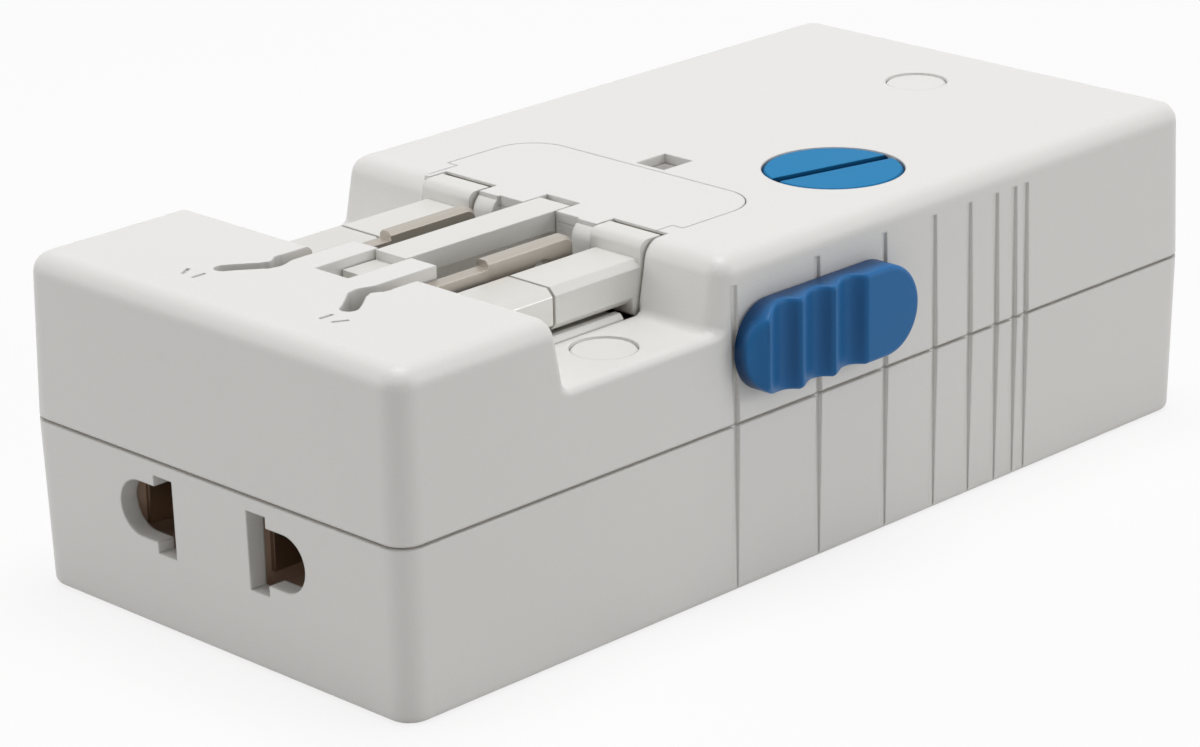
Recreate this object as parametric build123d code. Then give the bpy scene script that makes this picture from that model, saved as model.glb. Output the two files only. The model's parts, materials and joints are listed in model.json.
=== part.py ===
from build123d import *
import math
import os

# Travel adapter with folding plug pins. Millimetres, +Z up, origin under the middle of the case.
# The two-hole socket is at the -X end, the slider is on the -Y side, the plug face is on top.

# Case
LENGTH = 106.4
WIDTH = 50.0
HEIGHT = 32.0
SEAM_Z = 16.4
WALL = 2.0
UPPER_LEAN = 0.25
LOWER_LEAN = 0.35
CORNER_R = 2.4
INNER_CORNER_R = 0.5
TOP_FILLET = 1.9
BOTTOM_FILLET = 0.8
SEAM_CHAMFER = 0.22
SEAM_GAP = 0.2
SEAM_GAP_DEPTH = 0.6
LIP_THICK = 0.8
LIP_HEIGHT = 1.2
LIP_GAP = 0.08

# Plug pins, folded flat into the top of the case, a little off its middle plane
PLUG_Y = -1.0
PLUG_PITCH = 22.2
PIN_HALF_SPREAD = 11.1
PIN_WIDE = 6.35
PIN_THICK = 4.0
PIN_TOP_DROP = 1.7
PIN_REACH = 20.4
PIN_METAL_TIP = 8.4
PIN_WAIST = 0.3
PIN_CHAMFER = 0.7
SLEEVE_THICK = 0.55
EYE_WIDE = 2.4
EYE_R = 2.2
HEEL_FRONT = 2.3
KNUCKLE_FRONT = 1.2
KNUCKLE_BACK = 1.4
KNUCKLE_FRONT_R = 0.9
EARTH_WIDE = 4.0
EARTH_TALL = 8.0
EARTH_REACH = 25.3
EARTH_SHOULDER = 4.0
EARTH_NECK_LOW = 3.2
EARTH_NECK_HIGH = 2.9
EARTH_HUB_R = 2.1
EARTH_FLUTE_DEPTH = 0.7
EARTH_FLUTE_TALL = 4.2
EARTH_FLUTE_ENDS = 5.0
EARTH_FLUTE_R = 0.8
EARTH_HEEL = 1.6
BLADE_HALF_SPREAD = 6.35
BLADE_THICK = 1.5
BLADE_WIDE = 6.35
BLADE_TOP_DROP = 0.4
BLADE_REACH = 20.1
BLADE_STEP_FROM_PIVOT = 9.2
BLADE_STEP = 0.8
BLADE_HOLE_R = 1.6
BLADE_HOLE_FROM_TIP = 4.2
BLADE_TIP_R = 1.4
BLADE_TIP_CHAMFER = 0.35
BUSHING_R = 2.1
BUSHING_CORE_R = 1.4
BUSHING_CHEEK = 0.7
FRONT_PIVOT_X = -35.6
FRONT_PIVOT_DROP = 3.8
FRONT_AXLE_R = 0.8
FRONT_AXLE_HALF = 9.6
REAR_AXLE_R = 0.9
REAR_AXLE_INNER_Y = 6.0
REAR_AXLE_OUTER_Y = 16.2
RUNNING_GAP = 0.05
SIDE_GAP = 0.15
KNUCKLE_GAP = 0.15
BUSHING_GAP = 0.2

# Notch across the case and the pocket in its middle
LEDGE_DROP = 6.6
NOTCH_FRONT_FROM_PIVOT = 1.0
NOTCH_FRONT_SLOPE = 1.2
NOTCH_REAR_FROM_PIVOT = 0.6
NOTCH_REAR_SLOPE = 1.3
NOTCH_FILLET = 0.9
REAR_CORNER_R = 2.0
LEDGE_FILLET = 0.8
POCKET_DEPTH = 8.7
POCKET_SIDE_GAP = 0.45
POCKET_FLOOR = 1.8
TONGUE_FROM_PIVOT = 4.5
POST_INNER_FRONT = 0.2
POST_OUTER_FRONT = 1.7
POST_STEP_Y = 5.2
EARTH_TIP_GAP = 0.45
FLARE_X = 4.9
FLARE_Y = 1.95
FLARE_DIP = 0.55
FLARE_WIDE = 1.7
FLARE_DEPTH = 4.4
FLARE_WELL_R = 0.95
FLARE_WELL_ALONG = 0.45
FLARE_WALL_X = 2.4
FLARE_WALL_Y = 3.2
BLOCK_WALL = 1.6
POST_WALL = 1.6
POCKET_WALL = 1.8

# Short engraved marks beside the flared slots
MARK_X = -46.8
MARK_Y = (8.4, 10.2)
MARK_LONG = 1.5
MARK_WIDE = 0.35
MARK_DEPTH = 0.2
MARK_TURN = 30.0

# Hinge cover on the plug face
COVER_THICK = 1.0
COVER_GAP = 0.08
COVER_FRONT_HALF = 14.1
COVER_BACK_HALF = 15.4
COVER_JOG_X = -9.0
COVER_END_X = 2.0
COVER_CORNER_R = 4.5
COVER_LEG = (1.2, 3.0, 2.4)
COVER_LEG_X = -3.0
COVER_LEG_Y = 11.0
COVER_LEG_LAP = 0.2
COVER_LAP_X = 0.5

# Indicator window
WINDOW_X = 4.65
WINDOW_LONG = 3.9
WINDOW_WIDE = 3.6
WINDOW_SINK = 0.9
LENS_FLANGE = 0.8
LED_R = 1.5
LED_TALL = 4.0
LED_GAP = 0.3
BOARD_THICK = 1.2
LED_BOARD_LONG = 6.0
LED_BOARD_WIDE = 17.0
LED_POST_Y = 6.6
LED_POST_R = 1.3
LED_RIM = 0.3
LED_BASE_TALL = 0.8
LENS_RIM = 1.0

# Case screws and the caps that hide them
LEDGE_SCREW_X = -23.6
LEDGE_SCREW_Y = 19.6
REAR_SCREW_X = 41.2
SCREW_CAP_R = 3.1
SCREW_CAP_THICK = 0.8
SCREW_CAP_SINK = 0.15
SCREW_HEAD_R = 2.2
SCREW_HEAD_TALL = 1.6
SCREW_SHANK_R = 1.25
SCREW_LONG = 11.0
SCREW_SEAT_Z = 19.6
SCREW_BORE_GAP = 0.15
BOSS_WALL = 1.5
SCREW_SLOT = 0.6
SCREW_SLOT_LONG = 2.4
SCREW_SLOT_DEPTH = 0.6
SCREW_CHAMFER = 0.4

# Side grooves that grow closer towards the far end, as x of each groove
GROOVE_X = (-12.4, -1.4, 7.8, 14.8, 19.9, 23.8, 26.5, 28.2)
GROOVE_WIDE = 0.75
GROOVE_DEPTH = 0.45
GROOVE_TOP_Z = 29.4

# Slider on the -Y side
SLIDER_MID_X = -1.5
SLIDER_LONG = 21.8
SLIDER_TALL = 8.8
SLIDER_Z = 22.8
SLIDER_PROUD = 2.8
SLIDER_TRAVEL = 8.0
SLIDER_EDGE = 0.45
SLIDER_STEM_LONG = 6.0
SLIDER_STEM_TALL = 2.8
SLIDER_SLOT_GAP = 0.2
FLUTE_PITCH = 4.5
FLUTE_DEPTH = 1.2
FLUTE_FIRST_X = -13.3
FLUTES = 4
CARRIAGE_LONG = 20.4
CARRIAGE_TALL = 7.6
CARRIAGE_THICK = 1.4
CARRIAGE_GAP = 0.1
LOCK_BAR_LONG = 4.0
LOCK_BAR_TALL = 2.0
LOCK_BAR_INNER_Y = -9.0
LOCK_BAR_FROM_KNUCKLE = 2.25
LOCK_BAR_R = 0.6
CARRIAGE_R = 1.0

# Fuse under its round cap
FUSE_X = 13.6
FUSE_Y = -13.4
FUSE_R = 2.6
FUSE_GLASS_R = 2.3
FUSE_LONG = 20.0
FUSE_END_LONG = 5.0
FUSE_BOTTOM_Z = 5.3
FUSE_GAP = 0.12
FUSE_CAP_R = 6.7
FUSE_CAP_THICK = 1.6
FUSE_CAP_GAP = 0.1
FUSE_CAP_CHAMFER = 0.3
FUSE_STEM_R = 4.2
FUSE_STEM_LONG = 7.4
FUSE_SLOT_WIDE = 1.2
FUSE_SLOT_DEPTH = 1.0
FUSE_SLOT_TURN = -13.5
FUSE_LUG_R = 5.2
FUSE_LUG_WIDE = 2.2
FUSE_LUG_TALL = 1.2
FUSE_HOLDER_R = 6.3
FUSE_CONTACT_THICK = 0.4
FUSE_FOOT = 1.0
FUSE_GRIP = 2.2
FUSE_SIDE_FROM_CAP_FOOT = 1.6
FUSE_FOOT_HOLE = 1.6
SIDE_HOLE_TALL = 1.2

# Two-hole socket in the -X end
SOCKET_Z = 11.2
SOCKET_INNER_Y = 5.0
SOCKET_SLOT_WIDE = 2.5
SOCKET_SLOT_TALL = 7.5
SOCKET_ROUND_Y = 9.7
SOCKET_ROUND_R = 2.7
CHAMBER_INNER_Y = 4.3
CHAMBER_OUTER_Y = 12.7
CHAMBER_TALL = 8.4
SOCKET_BLOCK_HALF = 14.4
SOCKET_BLOCK_LONG = 14.6
SOCKET_BLOCK_WALL = 1.0
SOCKET_RIB_THICK = 1.6
SOCKET_RIB_INSET = (3.0, 4.0)
CONTACT_THICK = 0.5
CONTACT_TALL = 6.0
CONTACT_BOW = 0.5
CONTACT_ENTRY = 1.2
CONTACT_CLEAR = 0.05
CONTACT_BEND = 0.8
CONTACT_BOW_START = 3.0

# Brass strips
STRIP_THICK = 0.5
STRIP_WIDE = 2.8
STRIP_BEND = 0.9
UPPER_STRIP_Z = 20.2
LOWER_STRIP_Z = 3.3
LEAF_GAP = 0.1
LEAF_RISE_X = -2.6
LEAF_END_X = 1.0
BLADE_LEAF_INSET = 0.6
BLADE_LEAF_FOOT = 1.5
STRIP_STEP_X = 5.3
FUSE_LAP = 0.8
SLOT_GAP = 0.3
LEAF_ROOM = 0.8

# Charger board and what stands on it
CHARGER_X0 = 21.5
CHARGER_END_GAP = 2.6
CHARGER_HALF_W = 20.5
CHARGER_Z = 5.0
STANDOFF_R = 1.7
STANDOFF_INSET = 3.4
CORE_SIZE = (14.0, 12.0, 11.5)
CORE_AT = (30.0, -10.5)
CORE_LIMB = 2.6
WINDING_GAP = 0.1
WINDING_BULGE = 1.8
WINDING_CORNER_R = 1.2
CAN_CHAMFER = 0.4
CAPACITORS = ((26.0, 13.5, 4.0, 12.0), (34.6, 14.5, 3.15, 9.0), (45.4, -16.0, 3.15, 9.0))
CHIP_SIZE = (5.0, 4.0, 1.6)
CHIP_AT = (29.0, 3.0)
CHIP_CHAMFER = 0.2
CHIP_LIFT = 0.1
CHIP_LEG_PITCH = 1.27
CHIP_LEG_WIDE = 0.4
CHIP_LEG_REACH = 1.0
CHIP_LEG_TALL = 0.5
USB_Y = 11.0
USB_WIDE = 12.5
USB_TALL = 5.1
USB_LONG = 14.0
USB_SHEET = 0.35
USB_SINK = 0.6
USB_HOLE_GAP = 0.3
USB_TONGUE_WIDE = 8.6
USB_TONGUE_THICK = 1.7
USB_TONGUE_LONG = 9.5
USB_BACK_LONG = 3.6
USB_CONTACTS_Y = (-3.5, -1.0, 1.0, 3.5)
USB_CONTACT_WIDE = 1.0
USB_CONTACT_THICK = 0.2
USB_CORNER_R = 0.5
USB_TONGUE_DROP = 0.5
USB_LATCH = (3.0, 1.6, 1.0)
USB_LATCH_FROM_FRONT = 5.5
USB_LATCH_Y = 3.1
USB_CONTACT_SHORT = 0.8

HALF_L = LENGTH / 2
HALF_W = WIDTH / 2
FRONT_PIVOT_Z = HEIGHT - FRONT_PIVOT_DROP
EARTH_OFF_PIVOT = HEIGHT - EARTH_TALL / 2 - FRONT_PIVOT_Z
REAR_PIVOT_X = FRONT_PIVOT_X - EARTH_OFF_PIVOT + PLUG_PITCH
REAR_PIVOT_Z = HEIGHT - PIN_TOP_DROP - PIN_THICK / 2
KNUCKLE_R = HEIGHT - REAR_PIVOT_Z
KNUCKLE_SWEEP_R = math.hypot(KNUCKLE_BACK, KNUCKLE_R)
LEDGE_Z = HEIGHT - LEDGE_DROP
POCKET_Z = HEIGHT - POCKET_DEPTH
CEILING_Z = POCKET_Z - POCKET_FLOOR
POCKET_HALF = PIN_HALF_SPREAD + PIN_WIDE / 2 + POCKET_SIDE_GAP
NOTCH_FRONT_X = FRONT_PIVOT_X + NOTCH_FRONT_FROM_PIVOT
NOTCH_REAR_X = REAR_PIVOT_X - NOTCH_REAR_FROM_PIVOT
TONGUE_END_X = FRONT_PIVOT_X + TONGUE_FROM_PIVOT
BLADE_LANE_INNER = BLADE_HALF_SPREAD - BLADE_THICK / 2 - SIDE_GAP
BLADE_LANE_OUTER = BLADE_HALF_SPREAD + BLADE_THICK / 2 + SIDE_GAP
BLADE_MID_Z = HEIGHT - BLADE_TOP_DROP - BLADE_WIDE / 2
BLADE_SWEEP_R = HEIGHT - BLADE_TOP_DROP - FRONT_PIVOT_Z
EARTH_LANE = EARTH_WIDE / 2 + SIDE_GAP
PIN_LANE_INNER = PIN_HALF_SPREAD - PIN_WIDE / 2 - SIDE_GAP - 0.1
PIN_LANE_OUTER = PIN_HALF_SPREAD + PIN_WIDE / 2 + SIDE_GAP + 0.1
EARTH_TIP_X = FRONT_PIVOT_X + EARTH_REACH
ROOF_Z = HEIGHT - WALL
INNER_HALF_L = HALF_L - WALL
INNER_HALF_W = HALF_W - WALL
STRIP_END_X = -INNER_HALF_L + SOCKET_BLOCK_LONG + CONTACT_THICK + STRIP_THICK / 2
CHARGER_TOP_Z = CHARGER_Z + BOARD_THICK
CHARGER_X1 = HALF_L - CHARGER_END_GAP


def span_box(x0, x1, y0, y1, z0, z1):
    """A box between two corners."""
    return Pos((x0 + x1) / 2, (y0 + y1) / 2, (z0 + z1) / 2) * Box(abs(x1 - x0), abs(y1 - y0), abs(z1 - z0))


def rod_y(x, z, radius, y0, y1):
    """A round bar along Y."""
    return Pos(x, (y0 + y1) / 2, z) * Rot(90, 0, 0) * Cylinder(radius, abs(y1 - y0))


def rod_z(x, y, radius, z0, z1):
    """A round bar along Z."""
    return Pos(x, y, (z0 + z1) / 2) * Cylinder(radius, abs(z1 - z0))


def xz_prism(face, y0, y1):
    """Extrudes a face that is drawn as (x, z) from y0 to y1."""
    return Pos(0, y1, 0) * extrude(Rot(90, 0, 0) * face, amount=y1 - y0, dir=(0, -1, 0))


def xz_polygon(points, y0, y1):
    """A prism along Y whose outline is a list of (x, z) corners."""
    return xz_prism(make_face(Polyline(*points, close=True)), y0, y1)


def xz_strip(points, y_mid, wide):
    """A flat metal strip along a path of (x, z) corners, bent round a small radius."""
    path = FilletPolyline(*points, radius=STRIP_BEND)
    return xz_prism(trace(path, line_width=STRIP_THICK), y_mid - wide / 2, y_mid + wide / 2)


def band(path, wide, steps=6):
    """A strip of even width along a curve in the XY plane."""
    sides = []
    for way in (-1, 1):
        points = []
        for i in range(steps + 1):
            along = path % (i / steps)
            points.append((path @ (i / steps)) + Vector(-along.Y, along.X) * (way * wide / 2))
        sides.append(Spline(*points))
    left, right = sides
    return make_face([left, Line(left @ 1, right @ 1), right, Line(right @ 0, left @ 0)])


def at_plug(shape):
    """Moves a piece or a list of pieces from the case's middle plane to the plug's."""
    if isinstance(shape, list):
        return [Pos(0, PLUG_Y, 0) * piece for piece in shape]
    return Pos(0, PLUG_Y, 0) * shape


def upright(edge):
    """True for an edge that runs mostly along Z."""
    return abs(edge.tangent_at(0.5).Z) > 0.8


def leaning_box(lean, tall, down):
    """The plain outside of one case half, widest at the seam."""
    angle = math.degrees(math.atan(lean / tall))
    way = -1 if down else 1
    body = extrude(Rectangle(LENGTH, WIDTH), amount=way * tall, taper=angle)
    body = fillet(body.edges().filter_by(upright), CORNER_R)
    bevel = SEAM_CHAMFER
    start = RectangleRounded(LENGTH - 2 * bevel, WIDTH - 2 * bevel, CORNER_R - bevel)
    limit = extrude(start, amount=way * bevel, taper=-45)
    limit += Pos(0, 0, way * (bevel + tall / 2)) * Box(2 * LENGTH, 2 * WIDTH, tall)
    return Pos(0, 0, SEAM_Z) * (body & limit)


def edges_at_z(body, z, tolerance=0.01):
    """The edges that lie flat at one height."""
    return body.edges().filter_by(lambda e: abs(e.bounding_box().min.Z - z) < tolerance
                                  and abs(e.bounding_box().max.Z - z) < tolerance)


def notch():
    """The waist across the upper half, with leaning end walls, a little proud of the sides."""
    top = HEIGHT + 1.0
    lean_front = NOTCH_FRONT_SLOPE / LEDGE_DROP
    lean_rear = NOTCH_REAR_SLOPE / LEDGE_DROP
    corners = [
        (NOTCH_FRONT_X + NOTCH_FRONT_SLOPE, LEDGE_Z),
        (NOTCH_REAR_X - NOTCH_REAR_SLOPE, LEDGE_Z),
        (NOTCH_REAR_X + lean_rear, top),
        (NOTCH_FRONT_X - lean_front, top),
    ]
    return xz_polygon(corners, -HALF_W - 1, HALF_W + 1)


def rounded_upper_outside():
    """The outside of the upper half with its notch and all its rounded edges."""
    body = leaning_box(UPPER_LEAN, HEIGHT - SEAM_Z, down=False)
    body -= notch()
    middle = (NOTCH_FRONT_X + NOTCH_REAR_X) / 2
    above = body.edges().filter_by(lambda e: e.center().Z > LEDGE_Z)
    body = fillet(above.filter_by(lambda e: upright(e) and middle < e.center().X < 0), REAR_CORNER_R)
    body = fillet(edges_at_z(body, HEIGHT).filter_by(lambda e: e.center().X > middle), TOP_FILLET)
    front_top = edges_at_z(body, HEIGHT).filter_by(lambda e: e.center().X < NOTCH_FRONT_X - NOTCH_FILLET)
    body = fillet(front_top, TOP_FILLET)
    front_wall = body.edges().filter_by(
        lambda e: abs(e.center().X - NOTCH_FRONT_X) < NOTCH_FRONT_SLOPE and e.center().Z > LEDGE_Z + 0.5)
    body = fillet(front_wall, NOTCH_FILLET)
    ledge_rim = edges_at_z(body, LEDGE_Z).filter_by(lambda e: abs(e.center().Y) > HALF_W - 1)
    return fillet(ledge_rim, LEDGE_FILLET)


def ring(inset_out, inset_in, z0, z1):
    """A rectangular ring that follows the wall, between two insets from the outside at the seam."""
    outer, inner = (
        RectangleRounded(LENGTH - 2 * inset, WIDTH - 2 * inset, max(CORNER_R - inset, INNER_CORNER_R))
        for inset in (inset_out, inset_in))
    return Pos(0, 0, z0) * extrude(outer - inner, amount=z1 - z0)


def side_grooves():
    """Cutters for the grooves on both long sides, which get closer together towards +X."""
    cutters = []
    for x in GROOVE_X:
        for side in (-1, 1):
            y0 = side * (HALF_W - GROOVE_DEPTH)
            y1 = side * (HALF_W + 1)
            cutters.append(span_box(x - GROOVE_WIDE / 2, x + GROOVE_WIDE / 2, y0, y1, -1, GROOVE_TOP_Z))
    return cutters


def screw_places():
    """Each case screw as x, y and the height of the surface above it."""
    return (
        (LEDGE_SCREW_X, -LEDGE_SCREW_Y, LEDGE_Z),
        (LEDGE_SCREW_X, LEDGE_SCREW_Y, LEDGE_Z),
        (REAR_SCREW_X, 0, HEIGHT),
    )


def cover_outline(gap):
    """The hinge cover's outline in plan, larger all round by a gap."""
    front = NOTCH_REAR_X + COVER_LAP_X
    points = [
        (front, -COVER_FRONT_HALF - gap),
        (COVER_JOG_X - gap, -COVER_FRONT_HALF - gap),
        (COVER_JOG_X - gap, -COVER_BACK_HALF - gap),
        (COVER_END_X + gap, -COVER_BACK_HALF - gap),
        (COVER_END_X + gap, COVER_BACK_HALF + gap),
        (COVER_JOG_X - gap, COVER_BACK_HALF + gap),
        (COVER_JOG_X - gap, COVER_FRONT_HALF + gap),
        (front, COVER_FRONT_HALF + gap),
    ]
    face = make_face(Polyline(*points, close=True))
    corners = face.vertices().filter_by(lambda v: v.X > COVER_END_X - 0.01)
    return fillet(corners, COVER_CORNER_R)


def pocket():
    """The deep middle of the notch, in which the folded pins lie."""
    return span_box(NOTCH_FRONT_X + 0.1, REAR_PIVOT_X - POST_OUTER_FRONT, -POCKET_HALF, POCKET_HALF,
                    POCKET_Z, HEIGHT + 1)


def lane_cutters():
    """The room round each folded pin: its lane, its pivot and the slots of the flat blades."""
    top = HEIGHT + 1
    post_outer_x = REAR_PIVOT_X - POST_OUTER_FRONT
    post_inner_x = REAR_PIVOT_X + POST_INNER_FRONT
    cut = [span_box(FRONT_PIVOT_X - EARTH_NECK_HIGH - SIDE_GAP, EARTH_TIP_X + EARTH_TIP_GAP,
                    -EARTH_LANE, EARTH_LANE, POCKET_Z, top)]
    cut.append(span_box(post_outer_x - 0.1, post_inner_x, -POST_STEP_Y, POST_STEP_Y, POCKET_Z, top))
    for side in (-1, 1):
        y0 = side * PIN_LANE_INNER
        y1 = side * PIN_LANE_OUTER
        cut.append(rod_y(REAR_PIVOT_X, REAR_PIVOT_Z, KNUCKLE_SWEEP_R + KNUCKLE_GAP, y0, y1))
        cut.append(span_box(post_outer_x - 0.1, REAR_PIVOT_X + PIN_THICK / 2 + KNUCKLE_GAP, y0, y1,
                            REAR_PIVOT_Z, top))
        cut.append(blade_slot(side))
        cut.append(rod_y(FRONT_PIVOT_X, FRONT_PIVOT_Z, BUSHING_R + BUSHING_GAP,
                         side * (BLADE_LANE_INNER - BUSHING_CHEEK - 0.1),
                         side * (BLADE_LANE_OUTER + BUSHING_CHEEK + 0.1)))
    return cut


def blade_slot(side):
    """The lane of one flat blade, and the shallow slot that flares out beyond its pivot."""
    lane_end = FRONT_PIVOT_X - BLADE_SWEEP_R - SIDE_GAP
    floor = FRONT_PIVOT_Z - BLADE_SWEEP_R - SIDE_GAP
    lane = span_box(lane_end, TONGUE_END_X + 0.5, side * BLADE_LANE_INNER, side * BLADE_LANE_OUTER, floor,
                    HEIGHT + 1)
    path = Spline((lane_end + 1.2, side * BLADE_HALF_SPREAD),
                  (lane_end - 0.8, side * (BLADE_HALF_SPREAD - FLARE_DIP)),
                  (lane_end - FLARE_X, side * (BLADE_HALF_SPREAD + FLARE_Y)),
                  tangents=((-1, 0), (-0.85, side * 0.5)))
    slot = band(path, FLARE_WIDE) + Pos(path @ 1) * Circle(FLARE_WIDE / 2)
    bend = path @ FLARE_WELL_ALONG
    well = rod_z(bend.X, bend.Y, FLARE_WELL_R, CEILING_Z - 1, HEIGHT)
    return lane + well + Pos(0, 0, HEIGHT - FLARE_DEPTH) * extrude(slot, amount=FLARE_DEPTH + 1)


def slot_marks():
    """Cutters for two short lines beside each flared slot, one straight and one turned."""
    cutters = []
    for side in (-1, 1):
        for y, turn in zip(MARK_Y, (0, MARK_TURN)):
            mark = Box(MARK_LONG, MARK_WIDE, 2 * MARK_DEPTH)
            cutters.append(Pos(MARK_X, side * y, HEIGHT) * Rot(0, 0, side * turn) * mark)
    return cutters


def tongue():
    """The block between the blade lanes that reaches back over the earth pin's root."""
    return span_box(NOTCH_FRONT_X - 1.5, TONGUE_END_X, -BLADE_LANE_INNER, BLADE_LANE_INNER, POCKET_Z, HEIGHT)


def upper_cavities():
    """The room inside the upper half, under its roof, its ledges and its front block."""
    low = SEAM_Z - 1
    front_wall_x = FRONT_PIVOT_X - BLADE_SWEEP_R - FLARE_X - FLARE_WALL_X
    side_y = BLADE_HALF_SPREAD + FLARE_Y + FLARE_WALL_Y
    rear_x = REAR_PIVOT_X + KNUCKLE_SWEEP_R + KNUCKLE_GAP + POST_WALL
    ledge_y = POCKET_HALF + POCKET_WALL
    block_x = NOTCH_FRONT_X - BLOCK_WALL
    cut = [
        span_box(-INNER_HALF_L, INNER_HALF_L, -INNER_HALF_W, INNER_HALF_W, low, CEILING_Z),
        span_box(rear_x, INNER_HALF_L, -INNER_HALF_W, INNER_HALF_W, CEILING_Z - 1, ROOF_Z),
        span_box(-INNER_HALF_L, front_wall_x, -INNER_HALF_W, INNER_HALF_W, CEILING_Z - 1, ROOF_Z),
    ]
    for side in (-1, 1):
        cut.append(span_box(front_wall_x - 1, block_x, side * side_y + PLUG_Y, side * INNER_HALF_W,
                            CEILING_Z - 1,
                            ROOF_Z))
        cut.append(span_box(block_x - 1, rear_x + 1, side * ledge_y + PLUG_Y, side * INNER_HALF_W,
                            CEILING_Z - 1,
                            LEDGE_Z - WALL))
        cut.append(span_box(NOTCH_REAR_X + WALL, rear_x + 1, side * ledge_y + PLUG_Y, side * INNER_HALF_W,
                            CEILING_Z - 1, ROOF_Z))
    return cut


def slider_slot():
    """The slot in the -Y wall that the slider's stem runs along."""
    x0 = SLIDER_MID_X - SLIDER_STEM_LONG / 2 - SLIDER_SLOT_GAP
    x1 = x0 + SLIDER_STEM_LONG + SLIDER_TRAVEL + 2 * SLIDER_SLOT_GAP
    half = SLIDER_STEM_TALL / 2 + SLIDER_SLOT_GAP
    return span_box(x0, x1, -HALF_W - 1, -INNER_HALF_W + 1, SLIDER_Z - half, SLIDER_Z + half)


def strip_slots():
    """Slots in the pocket floor that the contact leaves come up through."""
    wide = STRIP_WIDE / 2 + SLOT_GAP
    cut = []
    for side in (-1, 1):
        y = side * PIN_HALF_SPREAD
        cut.append(span_box(REAR_PIVOT_X + LEAF_RISE_X - LEAF_ROOM, REAR_PIVOT_X + LEAF_END_X + LEAF_ROOM,
                            y - wide, y + wide,
                            CEILING_Z - 1, REAR_PIVOT_Z - KNUCKLE_R + 0.4))
        y = side * BLADE_HALF_SPREAD
        half = BLADE_THICK / 2 + SIDE_GAP
        x = blade_leaf_x()
        cut.append(span_box(x - 2 * SLOT_GAP, x + 2 * SLOT_GAP, y - half, y + half, CEILING_Z - 1,
                            FRONT_PIVOT_Z - BLADE_SWEEP_R + 1))
    return cut


def upper_shell():
    body = rounded_upper_outside()
    body -= upper_cavities()
    body -= at_plug(pocket())
    body += at_plug(tongue())
    for x, y, top in screw_places():
        radius = SCREW_HEAD_R + SCREW_BORE_GAP + BOSS_WALL
        body += rod_z(x, y, radius, SEAM_Z, top - 1.5)
    for side in (-1, 1):
        body += rod_z(WINDOW_X, side * LED_POST_Y, LED_POST_R, led_board_z() + BOARD_THICK, ROOF_Z + 0.5)
    body -= at_plug(lane_cutters())
    for x, y, top in screw_places():
        body -= rod_z(x, y, SCREW_CAP_R, top - SCREW_CAP_SINK - SCREW_CAP_THICK, top + 1)
        body -= rod_z(x, y, SCREW_HEAD_R + SCREW_BORE_GAP, SCREW_SEAT_Z, top)
        body -= rod_z(x, y, SCREW_SHANK_R, SEAM_Z - 1, SCREW_SEAT_Z + 1)
    body -= Pos(0, 0, HEIGHT - COVER_THICK) * extrude(cover_outline(COVER_GAP), amount=COVER_THICK + 1)
    for side in (-1, 1):
        long, wide, tall = (size + 2 * COVER_GAP for size in COVER_LEG)
        body -= Pos(COVER_LEG_X, side * COVER_LEG_Y, ROOF_Z) * Box(long, wide, tall)
    body -= Pos(WINDOW_X, 0, ROOF_Z) * Box(WINDOW_LONG, WINDOW_WIDE, 3 * WALL)
    body -= rod_z(FUSE_X, FUSE_Y, FUSE_CAP_R + FUSE_CAP_GAP, HEIGHT - FUSE_CAP_THICK, HEIGHT + 1)
    body -= rod_z(FUSE_X, FUSE_Y, FUSE_STEM_R + FUSE_CAP_GAP, ROOF_Z - 1, HEIGHT)
    lug_way = Box(FUSE_LUG_WIDE + 4 * FUSE_CAP_GAP, 2 * (FUSE_LUG_R + FUSE_CAP_GAP), WALL)
    body -= Pos(FUSE_X, FUSE_Y, ROOF_Z) * lug_way
    body -= front_axle()
    body -= rear_axles()
    body -= slider_slot()
    body -= at_plug(strip_slots())
    body -= side_grooves()
    body -= at_plug(slot_marks())
    body -= ring(WALL - LIP_THICK - LIP_GAP, WALL + 0.5, SEAM_Z - 1, SEAM_Z + LIP_HEIGHT + LIP_GAP)
    return body


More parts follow.
